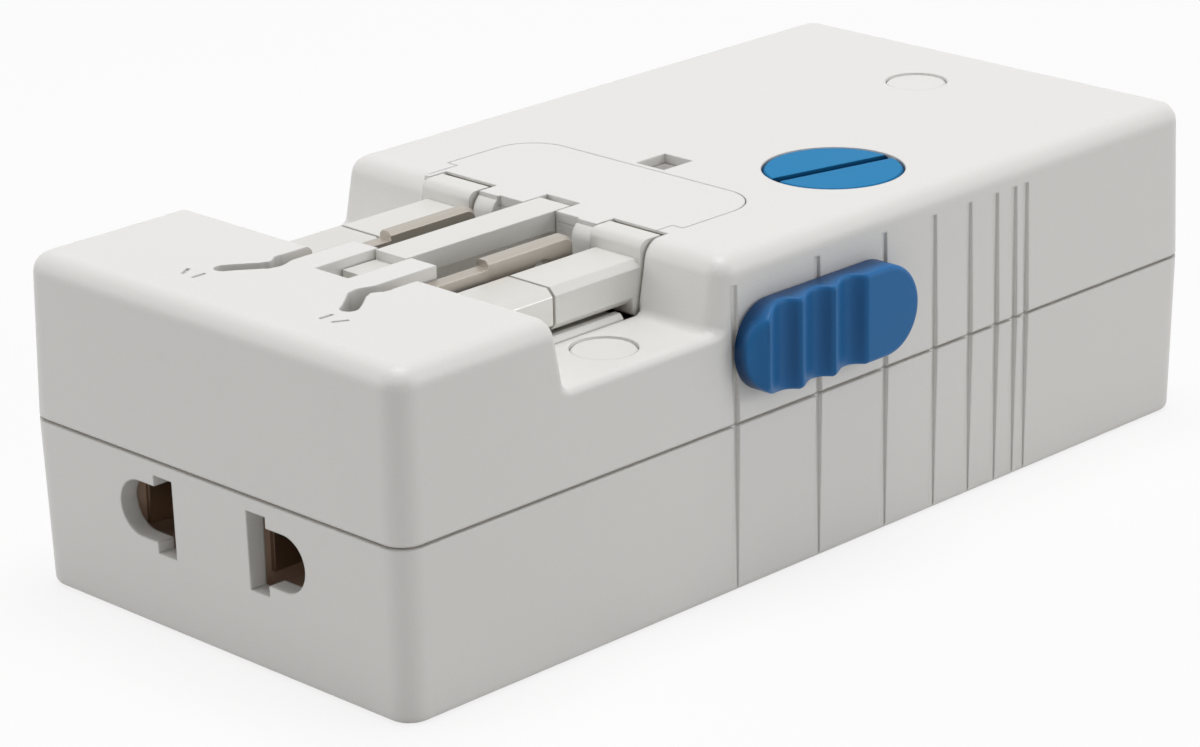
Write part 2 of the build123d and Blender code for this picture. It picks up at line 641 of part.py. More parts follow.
def lower_shell():
    body = leaning_box(LOWER_LEAN, SEAM_Z, down=True)
    body = fillet(edges_at_z(body, 0), BOTTOM_FILLET)
    body -= span_box(-INNER_HALF_L, INNER_HALF_L, -INNER_HALF_W, INNER_HALF_W, WALL, SEAM_Z + 1)
    body += ring(WALL - LIP_THICK, WALL, SEAM_Z - 0.5, SEAM_Z + LIP_HEIGHT)
    for x, y, _ in screw_places():
        body += rod_z(x, y, SCREW_SHANK_R + BOSS_WALL, WALL - 0.5, SEAM_Z)
    for x, y in standoffs():
        body += rod_z(x, y, STANDOFF_R, WALL - 0.5, CHARGER_Z)
    near, far = SOCKET_RIB_INSET
    for x in (-INNER_HALF_L + near, -INNER_HALF_L + SOCKET_BLOCK_LONG - far):
        half = SOCKET_RIB_THICK / 2
        body += span_box(x - half, x + half, -SOCKET_BLOCK_HALF + 1, SOCKET_BLOCK_HALF - 1, WALL - 0.5,
                         socket_block_z()[0])
    body += rod_z(FUSE_X, FUSE_Y, FUSE_HOLDER_R - BOSS_WALL, WALL - 0.5,
                  FUSE_BOTTOM_Z - FUSE_CONTACT_THICK - FUSE_FOOT)
    for x, y, _ in screw_places():
        body -= rod_z(x, y, SCREW_SHANK_R, SCREW_SEAT_Z - SCREW_LONG - 1.0, SEAM_Z + 1)
    for side in (-1, 1):
        body -= socket_hole(side, -HALF_L - 1, -INNER_HALF_L + 0.5)
    half_w = USB_WIDE / 2 + USB_HOLE_GAP
    usb_z = CHARGER_TOP_Z + USB_TALL / 2
    half_t = USB_TALL / 2 + USB_HOLE_GAP
    body -= span_box(INNER_HALF_L - 0.5, HALF_L + 1, USB_Y - half_w, USB_Y + half_w, usb_z - half_t,
                     usb_z + half_t)
    body -= span_box(FUSE_X - 6, FUSE_X - 2, -PIN_HALF_SPREAD - 2, -PIN_HALF_SPREAD + 2, WALL,
                     LOWER_STRIP_Z + 1)
    body -= side_grooves()
    body -= ring(-1, SEAM_GAP_DEPTH, SEAM_Z - SEAM_GAP, SEAM_Z)
    return body


def socket_hole(side, x0, x1):
    """One socket hole: an upright blade slot joined to a round pin's hole."""
    slot_mid = side * (SOCKET_INNER_Y + SOCKET_SLOT_WIDE / 2)
    hole = span_box(x0, x1, side * SOCKET_INNER_Y, side * (SOCKET_INNER_Y + SOCKET_SLOT_WIDE),
                    SOCKET_Z - SOCKET_SLOT_TALL / 2, SOCKET_Z + SOCKET_SLOT_TALL / 2)
    hole += span_box(x0, x1, slot_mid, side * SOCKET_ROUND_Y, SOCKET_Z - SOCKET_ROUND_R,
                     SOCKET_Z + SOCKET_ROUND_R)
    barrel = Pos((x0 + x1) / 2, side * SOCKET_ROUND_Y, SOCKET_Z) * Rot(0, 90, 0) * Cylinder(SOCKET_ROUND_R,
                                                                                            x1 - x0)
    return hole + barrel


def hinge_cover():
    plate = Pos(0, 0, HEIGHT - COVER_THICK) * extrude(cover_outline(0), amount=COVER_THICK)
    for side in (-1, 1):
        long, wide, tall = COVER_LEG
        plate += Pos(COVER_LEG_X, side * COVER_LEG_Y, HEIGHT - COVER_THICK - tall / 2 + COVER_LEG_LAP) * Box(
            long, wide, tall + 2 * COVER_LEG_LAP)
    plate -= at_plug(lane_cutters())
    return plate


def led_board_z():
    """Height of the indicator board's underside."""
    return ROOF_Z - LENS_FLANGE - LED_GAP - LED_TALL - BOARD_THICK


def indicator_lens():
    gap = COVER_GAP
    top = HEIGHT - WINDOW_SINK
    rim_x = WINDOW_LONG / 2 + LENS_RIM
    rim_y = WINDOW_WIDE / 2 + LENS_RIM
    lens = span_box(WINDOW_X - WINDOW_LONG / 2 + gap, WINDOW_X + WINDOW_LONG / 2 - gap,
                    -WINDOW_WIDE / 2 + gap, WINDOW_WIDE / 2 - gap, ROOF_Z - LENS_FLANGE, top)
    flange = span_box(WINDOW_X - rim_x, WINDOW_X + rim_x, -rim_y, rim_y, ROOF_Z - LENS_FLANGE, ROOF_Z)
    return lens + flange


def indicator_board():
    z = led_board_z()
    half_l = LED_BOARD_LONG / 2
    half_w = LED_BOARD_WIDE / 2
    return span_box(WINDOW_X - half_l, WINDOW_X + half_l, -half_w, half_w, z, z + BOARD_THICK)


def indicator_led():
    z = led_board_z() + BOARD_THICK
    base = rod_z(WINDOW_X, 0, LED_R + LED_RIM, z, z + LED_BASE_TALL)
    body = rod_z(WINDOW_X, 0, LED_R, z, z + LED_TALL)
    body = chamfer(body.edges().filter_by(lambda e: e.center().Z > z + 1), LED_R / 2)
    return base + body


def screw_covers():
    caps = []
    for x, y, top in screw_places():
        face_z = top - SCREW_CAP_SINK
        cap = rod_z(x, y, SCREW_CAP_R - COVER_GAP, face_z - SCREW_CAP_THICK, face_z)
        caps.append(chamfer(cap.edges().filter_by(lambda e: e.center().Z > face_z - 0.1), SCREW_CAP_SINK))
    return caps


def case_screws():
    screws = []
    for x, y, _ in screw_places():
        screw = rod_z(x, y, SCREW_HEAD_R, SCREW_SEAT_Z, SCREW_SEAT_Z + SCREW_HEAD_TALL)
        screw = chamfer(screw.edges().filter_by(lambda e: e.center().Z > SCREW_SEAT_Z + 1), SCREW_CHAMFER)
        screw += rod_z(x, y, SCREW_SHANK_R, SCREW_SEAT_Z - SCREW_LONG, SCREW_SEAT_Z)
        z = SCREW_SEAT_Z + SCREW_HEAD_TALL
        for turn in (0, 90):
            screw -= Pos(x, y, z) * Rot(0, 0, turn) * Box(SCREW_SLOT_LONG, SCREW_SLOT, 2 * SCREW_SLOT_DEPTH)
        screws.append(screw)
    return screws


def front_axle():
    return at_plug(rod_y(FRONT_PIVOT_X, FRONT_PIVOT_Z, FRONT_AXLE_R, -FRONT_AXLE_HALF, FRONT_AXLE_HALF))


def rear_axles():
    return at_plug([
        rod_y(REAR_PIVOT_X, REAR_PIVOT_Z, REAR_AXLE_R, side * REAR_AXLE_INNER_Y, side * REAR_AXLE_OUTER_Y)
        for side in (-1, 1)])


def flat_pin_bar(y0, y1, x0, x1):
    """A length of flat pin with its long edges chamfered."""
    half = PIN_THICK / 2
    bar = span_box(x0, x1, y0, y1, REAR_PIVOT_Z - half, REAR_PIVOT_Z + half)
    return chamfer(bar.edges().filter_by(Axis.X), PIN_CHAMFER)


def power_pin(side):
    """One flat pin in metal: bright tip, thinner core under the sleeve, and an eye round the axle."""
    y_mid = side * PIN_HALF_SPREAD
    y0 = y_mid - PIN_WIDE / 2
    y1 = y_mid + PIN_WIDE / 2
    tip_x = REAR_PIVOT_X - PIN_REACH
    shoulder_x = tip_x + PIN_METAL_TIP
    tip = flat_pin_bar(y0, y1, tip_x, shoulder_x - PIN_WAIST)
    end_edges = tip.edges().filter_by(lambda e: abs(e.center().X - tip_x) < 0.01)
    tip = chamfer(end_edges, PIN_CHAMFER)
    half = PIN_THICK / 2 - SLEEVE_THICK
    core = span_box(shoulder_x - PIN_WAIST - 0.1, REAR_PIVOT_X, y0 + SLEEVE_THICK, y1 - SLEEVE_THICK,
                    REAR_PIVOT_Z - half, REAR_PIVOT_Z + half)
    core -= rod_y(REAR_PIVOT_X, REAR_PIVOT_Z, EYE_R, y0, y1)
    eye_y0 = y_mid - EYE_WIDE / 2
    eye_y1 = y_mid + EYE_WIDE / 2
    heel = rod_y(REAR_PIVOT_X, REAR_PIVOT_Z, KNUCKLE_R, eye_y0, eye_y1)
    heel &= span_box(REAR_PIVOT_X - EYE_R / 2, REAR_PIVOT_X + KNUCKLE_R, eye_y0, eye_y1,
                     REAR_PIVOT_Z - KNUCKLE_R, REAR_PIVOT_Z + EYE_R / 2)
    eye = heel + rod_y(REAR_PIVOT_X, REAR_PIVOT_Z, EYE_R, eye_y0, eye_y1)
    pin = tip + core + eye
    return pin - rod_y(REAR_PIVOT_X, REAR_PIVOT_Z, REAR_AXLE_R + RUNNING_GAP, y0, y1)


def knuckle(y0, y1):
    """The root of a flat pin: a round heel with a squarer top that fills the hinge's mouth."""
    top = REAR_PIVOT_Z + KNUCKLE_R
    front = REAR_PIVOT_X - KNUCKLE_FRONT
    round_root = rod_y(REAR_PIVOT_X, REAR_PIVOT_Z, KNUCKLE_R, y0, y1)
    heel = round_root & span_box(REAR_PIVOT_X - HEEL_FRONT, REAR_PIVOT_X + KNUCKLE_R, y0, y1,
                                 REAR_PIVOT_Z - KNUCKLE_R, REAR_PIVOT_Z)
    crown = round_root & span_box(REAR_PIVOT_X, REAR_PIVOT_X + KNUCKLE_R, y0, y1, REAR_PIVOT_Z, top)
    head = span_box(front, REAR_PIVOT_X + KNUCKLE_BACK, y0, y1, REAR_PIVOT_Z, top)
    front_edges = head.edges().filter_by(Axis.Y).filter_by(lambda e: e.center().X < front + 0.01)
    brow = front_edges.sort_by(Axis.Z)[-1]
    return heel + crown + fillet(brow, KNUCKLE_FRONT_R)


def power_pin_sleeve(side):
    """The moulded sleeve round one flat pin, with the knuckle that fills the hinge."""
    y_mid = side * PIN_HALF_SPREAD
    y0 = y_mid - PIN_WIDE / 2
    y1 = y_mid + PIN_WIDE / 2
    shoulder_x = REAR_PIVOT_X - PIN_REACH + PIN_METAL_TIP
    sleeve = flat_pin_bar(y0, y1, shoulder_x, REAR_PIVOT_X)
    sleeve += knuckle(y0, y1)
    sleeve -= rod_y(REAR_PIVOT_X, REAR_PIVOT_Z, REAR_AXLE_R + RUNNING_GAP, y0, y1)
    return sleeve - power_pin(side)


def earth_pin():
    """The long middle pin: full bar, fluted sides, a lower neck and a hub round the front axle."""
    half_y = EARTH_WIDE / 2
    x_sh = FRONT_PIVOT_X + EARTH_SHOULDER
    z0 = HEIGHT - EARTH_TALL
    bar = span_box(x_sh, EARTH_TIP_X, -half_y, half_y, z0, HEIGHT)
    bar = chamfer(bar.edges().filter_by(lambda e: abs(e.center().X - EARTH_TIP_X) < 0.01), PIN_CHAMFER)
    mid_z = HEIGHT - EARTH_TALL / 2
    for side in (-1, 1):
        flute = Pos((x_sh + EARTH_TIP_X) / 2, side * half_y, mid_z) * Box(
            EARTH_REACH - EARTH_SHOULDER - EARTH_FLUTE_ENDS, 2 * EARTH_FLUTE_DEPTH, EARTH_FLUTE_TALL)
        bar -= fillet(flute.edges().filter_by(Axis.Y), EARTH_FLUTE_R)
    neck = span_box(FRONT_PIVOT_X, x_sh + 0.5, -half_y, half_y,
                    FRONT_PIVOT_Z - EARTH_NECK_LOW, FRONT_PIVOT_Z + EARTH_NECK_HIGH)
    hub = rod_y(FRONT_PIVOT_X, FRONT_PIVOT_Z, EARTH_HUB_R, -half_y, half_y)
    hub += rod_y(FRONT_PIVOT_X, FRONT_PIVOT_Z, EARTH_NECK_LOW, -half_y, half_y) & span_box(
        FRONT_PIVOT_X - EARTH_HEEL, FRONT_PIVOT_X + 0.5, -half_y, half_y, z0, FRONT_PIVOT_Z)
    pin = bar + neck + hub
    return pin - rod_y(FRONT_PIVOT_X, FRONT_PIVOT_Z, FRONT_AXLE_R + RUNNING_GAP, -half_y, half_y)


def blade(side):
    """One flat blade with a lower round root, a hole near its tip and a hole for its bushing."""
    y = side * BLADE_HALF_SPREAD
    y0 = y - BLADE_THICK / 2
    y1 = y + BLADE_THICK / 2
    half = BLADE_WIDE / 2
    tip_x = FRONT_PIVOT_X + BLADE_REACH
    bar = span_box(FRONT_PIVOT_X, tip_x, y0, y1, BLADE_MID_Z - half, BLADE_MID_Z + half)
    bar = fillet(bar.edges().filter_by(lambda e: abs(e.center().X - tip_x) < 0.01 and e.length < 2),
                 BLADE_TIP_R)
    bar = chamfer(bar.edges().filter_by(lambda e: abs(e.center().X - tip_x) < 0.01 and e.length > 2),
                  BLADE_TIP_CHAMFER)
    bar += rod_y(FRONT_PIVOT_X, BLADE_MID_Z, half, y0, y1)
    bar -= span_box(FRONT_PIVOT_X - half, FRONT_PIVOT_X + BLADE_STEP_FROM_PIVOT, y0, y1,
                    BLADE_MID_Z + half - BLADE_STEP, HEIGHT)
    bar -= rod_y(tip_x - BLADE_HOLE_FROM_TIP, BLADE_MID_Z, BLADE_HOLE_R, y0 - 1, y1 + 1)
    return bar - rod_y(FRONT_PIVOT_X, FRONT_PIVOT_Z, BUSHING_CORE_R, y0 - 1, y1 + 1)


def blade_bushing(side):
    """The flanged bushing riveted through a blade's root, which turns on the front axle."""
    y = side * BLADE_HALF_SPREAD
    half = BLADE_THICK / 2
    core = rod_y(FRONT_PIVOT_X, FRONT_PIVOT_Z, BUSHING_CORE_R, y - half - 0.1, y + half + 0.1)
    for way in (-1, 1):
        core += rod_y(FRONT_PIVOT_X, FRONT_PIVOT_Z, BUSHING_R, y + way * half,
                      y + way * (half + BUSHING_CHEEK))
    reach = half + BUSHING_CHEEK + 1
    return core - rod_y(FRONT_PIVOT_X, FRONT_PIVOT_Z, FRONT_AXLE_R + RUNNING_GAP, y - reach, y + reach)


def slider_knob():
    """The fluted thumb piece outside the case, with the stem that passes through the slot."""
    back = -HALF_W - CARRIAGE_GAP
    outline = SlotOverall(SLIDER_LONG, SLIDER_TALL)
    face = Plane(origin=(SLIDER_MID_X, back, SLIDER_Z), x_dir=(1, 0, 0), z_dir=(0, -1, 0))
    knob = extrude(face * outline, amount=SLIDER_PROUD)
    knob = chamfer(knob.edges().filter_by(lambda e: e.center().Y < back - SLIDER_PROUD + 0.01), SLIDER_EDGE)
    radius = (FLUTE_PITCH ** 2 / 4 + FLUTE_DEPTH ** 2) / (2 * FLUTE_DEPTH)
    front = back - SLIDER_PROUD
    for i in range(FLUTES):
        x = FLUTE_FIRST_X + i * FLUTE_PITCH
        knob -= rod_z(x, front - radius + FLUTE_DEPTH, radius, SLIDER_Z - SLIDER_TALL, SLIDER_Z + SLIDER_TALL)
    x0 = SLIDER_MID_X - SLIDER_STEM_LONG / 2
    half = SLIDER_STEM_TALL / 2
    knob += span_box(x0, x0 + SLIDER_STEM_LONG, back - 0.2, carriage_y()[0], SLIDER_Z - half, SLIDER_Z + half)
    return knob


def carriage_y():
    """The carriage's outer and inner faces."""
    outer = -INNER_HALF_W + CARRIAGE_GAP
    return outer, outer + CARRIAGE_THICK


def slider_carriage():
    """The plate inside the wall that hides the slot and carries the bar that holds the pins."""
    y0, y1 = carriage_y()
    half = CARRIAGE_LONG / 2
    plate = span_box(SLIDER_MID_X - half, SLIDER_MID_X + half, y0, y1,
                     SLIDER_Z - CARRIAGE_TALL / 2, SLIDER_Z + CARRIAGE_TALL / 2)
    return fillet(plate.edges().filter_by(Axis.Y), CARRIAGE_R)


def lock_bar():
    """The bar from the carriage to the live pin's knuckle."""
    _, y1 = carriage_y()
    x0 = REAR_PIVOT_X + KNUCKLE_R + LOCK_BAR_FROM_KNUCKLE
    z1 = SLIDER_Z + CARRIAGE_TALL / 2
    bar = span_box(x0, x0 + LOCK_BAR_LONG, y1, LOCK_BAR_INNER_Y, z1 - LOCK_BAR_TALL, z1)
    return fillet(bar.edges().filter_by(lambda e: abs(e.center().Y - LOCK_BAR_INNER_Y) < 0.01
                                        and e.length < 3), LOCK_BAR_R)


def fuse_body():
    return rod_z(FUSE_X, FUSE_Y, FUSE_GLASS_R, FUSE_BOTTOM_Z + 1, FUSE_BOTTOM_Z + FUSE_LONG - 1)


def fuse_end_caps():
    caps = []
    for z0 in (FUSE_BOTTOM_Z, FUSE_BOTTOM_Z + FUSE_LONG - FUSE_END_LONG):
        cap = rod_z(FUSE_X, FUSE_Y, FUSE_R, z0, z0 + FUSE_END_LONG)
        caps.append(cap - fuse_body())
    return caps


def fuse_cap_levels():
    """Heights of the cap's stem: its foot, the underside of its head."""
    under = HEIGHT - FUSE_CAP_THICK
    return under - FUSE_STEM_LONG + FUSE_CAP_THICK, under


def fuse_cap():
    """The round cap, slotted for a coin, with a hollow stem and two turning lugs."""
    foot, under = fuse_cap_levels()
    head = rod_z(FUSE_X, FUSE_Y, FUSE_CAP_R, under, HEIGHT)
    head = chamfer(head.edges().filter_by(lambda e: e.center().Z > HEIGHT - 0.01), FUSE_CAP_CHAMFER)
    slot = Pos(FUSE_X, FUSE_Y, HEIGHT) * Rot(0, 0, FUSE_SLOT_TURN) * Box(
        2 * FUSE_CAP_R + 1, FUSE_SLOT_WIDE, 2 * FUSE_SLOT_DEPTH)
    stem = rod_z(FUSE_X, FUSE_Y, FUSE_STEM_R, foot, under + 0.2)
    lug_z = ROOF_Z - FUSE_CAP_GAP - FUSE_LUG_TALL
    lugs = Pos(FUSE_X, FUSE_Y, lug_z + FUSE_LUG_TALL / 2) * Box(2 * FUSE_LUG_R, FUSE_LUG_WIDE, FUSE_LUG_TALL)
    lugs &= rod_z(FUSE_X, FUSE_Y, FUSE_LUG_R, lug_z, lug_z + FUSE_LUG_TALL)
    cap = head - slot + stem + lugs
    grip_top = FUSE_BOTTOM_Z + FUSE_LONG + FUSE_GRIP
    return cap - rod_z(FUSE_X, FUSE_Y, FUSE_R + FUSE_GAP, foot - 1, grip_top)


def fuse_holder():
    """The upright well for the fuse, widened at the top for the cap's stem and lugs."""
    foot, _ = fuse_cap_levels()
    base = FUSE_BOTTOM_Z - FUSE_CONTACT_THICK - FUSE_FOOT
    well = rod_z(FUSE_X, FUSE_Y, FUSE_HOLDER_R, base, ROOF_Z)
    well -= rod_z(FUSE_X, FUSE_Y, FUSE_R + FUSE_GAP, FUSE_BOTTOM_Z - FUSE_CONTACT_THICK, ROOF_Z + 1)
    well -= rod_z(FUSE_X, FUSE_Y, FUSE_STEM_R + FUSE_CAP_GAP, foot - 0.3, ROOF_Z + 1)
    lug_floor = ROOF_Z - FUSE_LUG_TALL - 3 * FUSE_CAP_GAP
    well -= rod_z(FUSE_X, FUSE_Y, FUSE_LUG_R + FUSE_CAP_GAP, lug_floor, ROOF_Z + 1)
    half = STRIP_WIDE / 2 + SLOT_GAP
    z = fuse_side_z()
    side_hole = Box(FUSE_HOLDER_R + 1, 2 * half, SIDE_HOLE_TALL)
    well -= Pos(FUSE_X - (FUSE_HOLDER_R + 1) / 2, PLUG_Y - PIN_HALF_SPREAD, z) * side_hole
    return well - Pos(FUSE_X, FUSE_Y, base) * Box(FUSE_FOOT_HOLE, FUSE_FOOT_HOLE, 4 * FUSE_FOOT)
    return well


def fuse_side_z():
    """Height of the strip that meets the fuse's upper end."""
    return FUSE_BOTTOM_Z + FUSE_LONG - FUSE_END_LONG + FUSE_SIDE_FROM_CAP_FOOT


def fuse_bottom_contact():
    """The disc under the fuse, on the foot of the strip that feeds the socket."""
    return rod_z(FUSE_X, FUSE_Y, FUSE_R, FUSE_BOTTOM_Z - FUSE_CONTACT_THICK, FUSE_BOTTOM_Z)


def live_strip():
    """From the live blade and the live pin's knuckle to the upper end of the fuse."""
    z = UPPER_STRIP_Z
    blade_x = blade_leaf_x()
    end_x = FUSE_X - FUSE_R - LEAF_GAP
    side_z = fuse_side_z()
    step_x = REAR_PIVOT_X + KNUCKLE_R + STRIP_STEP_X
    run = xz_strip([(blade_x, z), (step_x, z), (step_x + abs(side_z - z), side_z), (end_x + FUSE_LAP,
                                                                                    side_z)],
                   -PIN_HALF_SPREAD, STRIP_WIDE)
    strip = at_plug(run + knuckle_leaf(-1) + blade_leaf(-1))
    return strip - rod_z(FUSE_X, FUSE_Y, FUSE_R + LEAF_GAP, 0, HEIGHT)


def neutral_strip():
    """From the neutral blade and pin forward and down to the neutral socket contact."""
    z = UPPER_STRIP_Z
    foot = SOCKET_Z - CONTACT_TALL / 2
    run = xz_strip([(REAR_PIVOT_X + 1, z), (STRIP_END_X, z), (STRIP_END_X, foot)], PIN_HALF_SPREAD,
                   STRIP_WIDE)
    return at_plug(run + knuckle_leaf(1) + blade_leaf(1))


def fused_live_strip():
    """From the foot of the fuse along the floor and up to the live socket contact."""
    z = LOWER_STRIP_Z
    top = SOCKET_Z + CONTACT_TALL / 2
    x1 = FUSE_X - FUSE_HOLDER_R + 2.5
    return xz_strip([(x1, z), (STRIP_END_X, z), (STRIP_END_X, top)], -PIN_HALF_SPREAD, STRIP_WIDE)


def knuckle_leaf(side):
    """The spring leaf that rises through the pocket floor under a pin's knuckle."""
    top = REAR_PIVOT_Z - KNUCKLE_R - LEAF_GAP - STRIP_THICK / 2
    x = REAR_PIVOT_X + LEAF_RISE_X
    points = [(x, UPPER_STRIP_Z - STRIP_THICK / 2 + 0.05), (x, top), (REAR_PIVOT_X + LEAF_END_X, top)]
    return xz_strip(points, side * PIN_HALF_SPREAD, EYE_WIDE)


def blade_leaf_x():
    """Where the leaf under a folded blade stands."""
    return FRONT_PIVOT_X + BLADE_SWEEP_R - BLADE_LEAF_INSET


def blade_leaf(side):
    """The upright leaf under a folded blade's edge, with its foot on the main strip."""
    x = blade_leaf_x()
    half = STRIP_THICK / 2
    inner = side * (BLADE_HALF_SPREAD - BLADE_THICK / 2)
    outer = side * (PIN_HALF_SPREAD + STRIP_WIDE / 2)
    foot = span_box(x - BLADE_LEAF_FOOT, x + half, inner, outer, UPPER_STRIP_Z - half, UPPER_STRIP_Z + half)
    top = BLADE_MID_Z - BLADE_WIDE / 2 - LEAF_GAP
    leg = span_box(x - half, x + half, inner, side * (BLADE_HALF_SPREAD + BLADE_THICK / 2), UPPER_STRIP_Z,
                   top)
    return foot + leg


def socket_block_z():
    """Floor and top of the block that holds the socket contacts."""
    half = CHAMBER_TALL / 2 + SOCKET_BLOCK_WALL
    return SOCKET_Z - half, SOCKET_Z + half


def socket_block():
    """The insulating block behind the end wall, with one chamber for each contact."""
    z0, z1 = socket_block_z()
    x0 = -INNER_HALF_L
    x1 = x0 + SOCKET_BLOCK_LONG
    block = span_box(x0, x1, -SOCKET_BLOCK_HALF, SOCKET_BLOCK_HALF, z0, z1)
    for side in (-1, 1):
        block -= span_box(x0 - 1, x1 + 1, side * CHAMBER_INNER_Y, side * CHAMBER_OUTER_Y,
                          SOCKET_Z - CHAMBER_TALL / 2, SOCKET_Z + CHAMBER_TALL / 2)
    return block


def socket_contact(side):
    """A bronze clip bent in a U, open towards the hole, whose outer leaf bows inwards."""
    x0 = -INNER_HALF_L + CONTACT_ENTRY
    x1 = -INNER_HALF_L + SOCKET_BLOCK_LONG
    half = CONTACT_THICK / 2
    inner = side * (CHAMBER_INNER_Y + half + CONTACT_CLEAR)
    outer = side * (CHAMBER_OUTER_Y - half - CONTACT_CLEAR)
    bow = outer - side * CONTACT_BOW
    path = FilletPolyline((x0, inner), (x1 + half, inner), (x1 + half, outer), (x1 - CONTACT_BOW_START,
                                                                                outer),
                          (x1 - 2 * CONTACT_BOW_START, bow), (x0 + CONTACT_BOW_START, bow), (x0, outer),
                          radius=CONTACT_BEND)
    clip = trace(path, line_width=CONTACT_THICK)
    return Pos(0, 0, SOCKET_Z - CONTACT_TALL / 2) * extrude(clip, amount=CONTACT_TALL)


def standoffs():
    """Places of the board's four feet."""
    x0 = CHARGER_X0 + STANDOFF_INSET
    x1 = CHARGER_X1 - STANDOFF_INSET
    y = CHARGER_HALF_W - STANDOFF_INSET
    return [(x, way * y) for x in (x0, x1) for way in (-1, 1)]


def charger_board():
    board = span_box(CHARGER_X0, CHARGER_X1, -CHARGER_HALF_W, CHARGER_HALF_W, CHARGER_Z, CHARGER_TOP_Z)
    return board - rod_z(REAR_SCREW_X, 0, SCREW_SHANK_R + BOSS_WALL + SLOT_GAP, 0, HEIGHT)


def transformer_core():
    """A ferrite frame of two outer limbs and one middle limb."""
    long, wide, tall = CORE_SIZE
    x, y = CORE_AT
    z = CHARGER_TOP_Z + tall / 2
    core = Pos(x, y, z) * Box(long, wide, tall)
    window = (long - 4 * CORE_LIMB) / 2
    for way in (-1, 1):
        core -= Pos(x + way * (CORE_LIMB + window / 2), y, z) * Box(window, wide + 1, tall - 2 * CORE_LIMB)
    return core


def transformer_winding():
    """The taped coil round the middle limb, bulging out of the frame's two open sides."""
    long, wide, tall = CORE_SIZE
    x, y = CORE_AT
    z = CHARGER_TOP_Z + tall / 2
    reach = long - 2 * CORE_LIMB - 2 * WINDING_GAP
    coil = Pos(x, y, z) * Box(reach, wide + 2 * WINDING_BULGE, tall - 2 * CORE_LIMB - 2 * WINDING_GAP)
    coil = fillet(coil.edges().filter_by(Axis.Z), WINDING_CORNER_R)
    return coil - Pos(x, y, z) * Box(2 * CORE_LIMB + 2 * WINDING_GAP, wide + 2 * WINDING_GAP, tall)


def capacitors():
    cans = []
    for x, y, radius, tall in CAPACITORS:
        can = rod_z(x, y, radius, CHARGER_TOP_Z, CHARGER_TOP_Z + tall)
        cans.append(chamfer(can.edges().filter_by(lambda e: e.center().Z > CHARGER_TOP_Z + 1), CAN_CHAMFER))
    return cans


def controller_chip():
    long, wide, tall = CHIP_SIZE
    x, y = CHIP_AT
    chip = Pos(x, y, CHARGER_TOP_Z + CHIP_LIFT + tall / 2) * Box(long, wide, tall)
    chip = chamfer(chip.edges().filter_by(lambda e: e.center().Z > CHARGER_TOP_Z + tall), CHIP_CHAMFER)
    for i in range(4):
        leg_x = x + (i - 1.5) * CHIP_LEG_PITCH
        leg = Box(CHIP_LEG_WIDE, wide + 2 * CHIP_LEG_REACH, CHIP_LEG_TALL)
        chip += Pos(leg_x, y, CHARGER_TOP_Z + CHIP_LEG_TALL / 2) * leg
    return chip


def usb_places():
    """The connector's front plane, back plane and middle height."""
    front = HALF_L - USB_SINK
    return front, front - USB_LONG, CHARGER_TOP_Z + USB_TALL / 2


def usb_shell():
    front, back, z = usb_places()
    shell = span_box(back, front, USB_Y - USB_WIDE / 2, USB_Y + USB_WIDE / 2, z - USB_TALL / 2,
                     z + USB_TALL / 2)
    shell = fillet(shell.edges().filter_by(Axis.X), USB_CORNER_R)
    bore = span_box(back - 1, front + 1, USB_Y - USB_WIDE / 2 + USB_SHEET, USB_Y + USB_WIDE / 2 - USB_SHEET,
                    z - USB_TALL / 2 + USB_SHEET, z + USB_TALL / 2 - USB_SHEET)
    shell -= bore
    for way in (-1, 1):
        shell -= Pos(front - USB_LATCH_FROM_FRONT, USB_Y + way * USB_LATCH_Y,
                     z + USB_TALL / 2) * Box(*USB_LATCH)
    return shell


def usb_tongue():
    _, back, z = usb_places()
    half_w = USB_WIDE / 2 - USB_SHEET
    half_t = USB_TALL / 2 - USB_SHEET
    block = span_box(back, back + USB_BACK_LONG, USB_Y - half_w, USB_Y + half_w, z - half_t, z + half_t)
    top = z + half_t - USB_TONGUE_DROP
    block += span_box(back + USB_BACK_LONG - 0.2, back + USB_BACK_LONG + USB_TONGUE_LONG,
                      USB_Y - USB_TONGUE_WIDE / 2, USB_Y + USB_TONGUE_WIDE / 2, top - USB_TONGUE_THICK, top)
    return block


def usb_contacts():
    _, back, z = usb_places()
    under = z + USB_TALL / 2 - USB_SHEET - USB_TONGUE_DROP - USB_TONGUE_THICK
    x0 = back + USB_BACK_LONG
    return [span_box(x0, x0 + USB_TONGUE_LONG - USB_CONTACT_SHORT, USB_Y + y - USB_CONTACT_WIDE / 2,
                     USB_Y + y + USB_CONTACT_WIDE / 2,
                     under - USB_CONTACT_THICK, under) for y in USB_CONTACTS_Y]


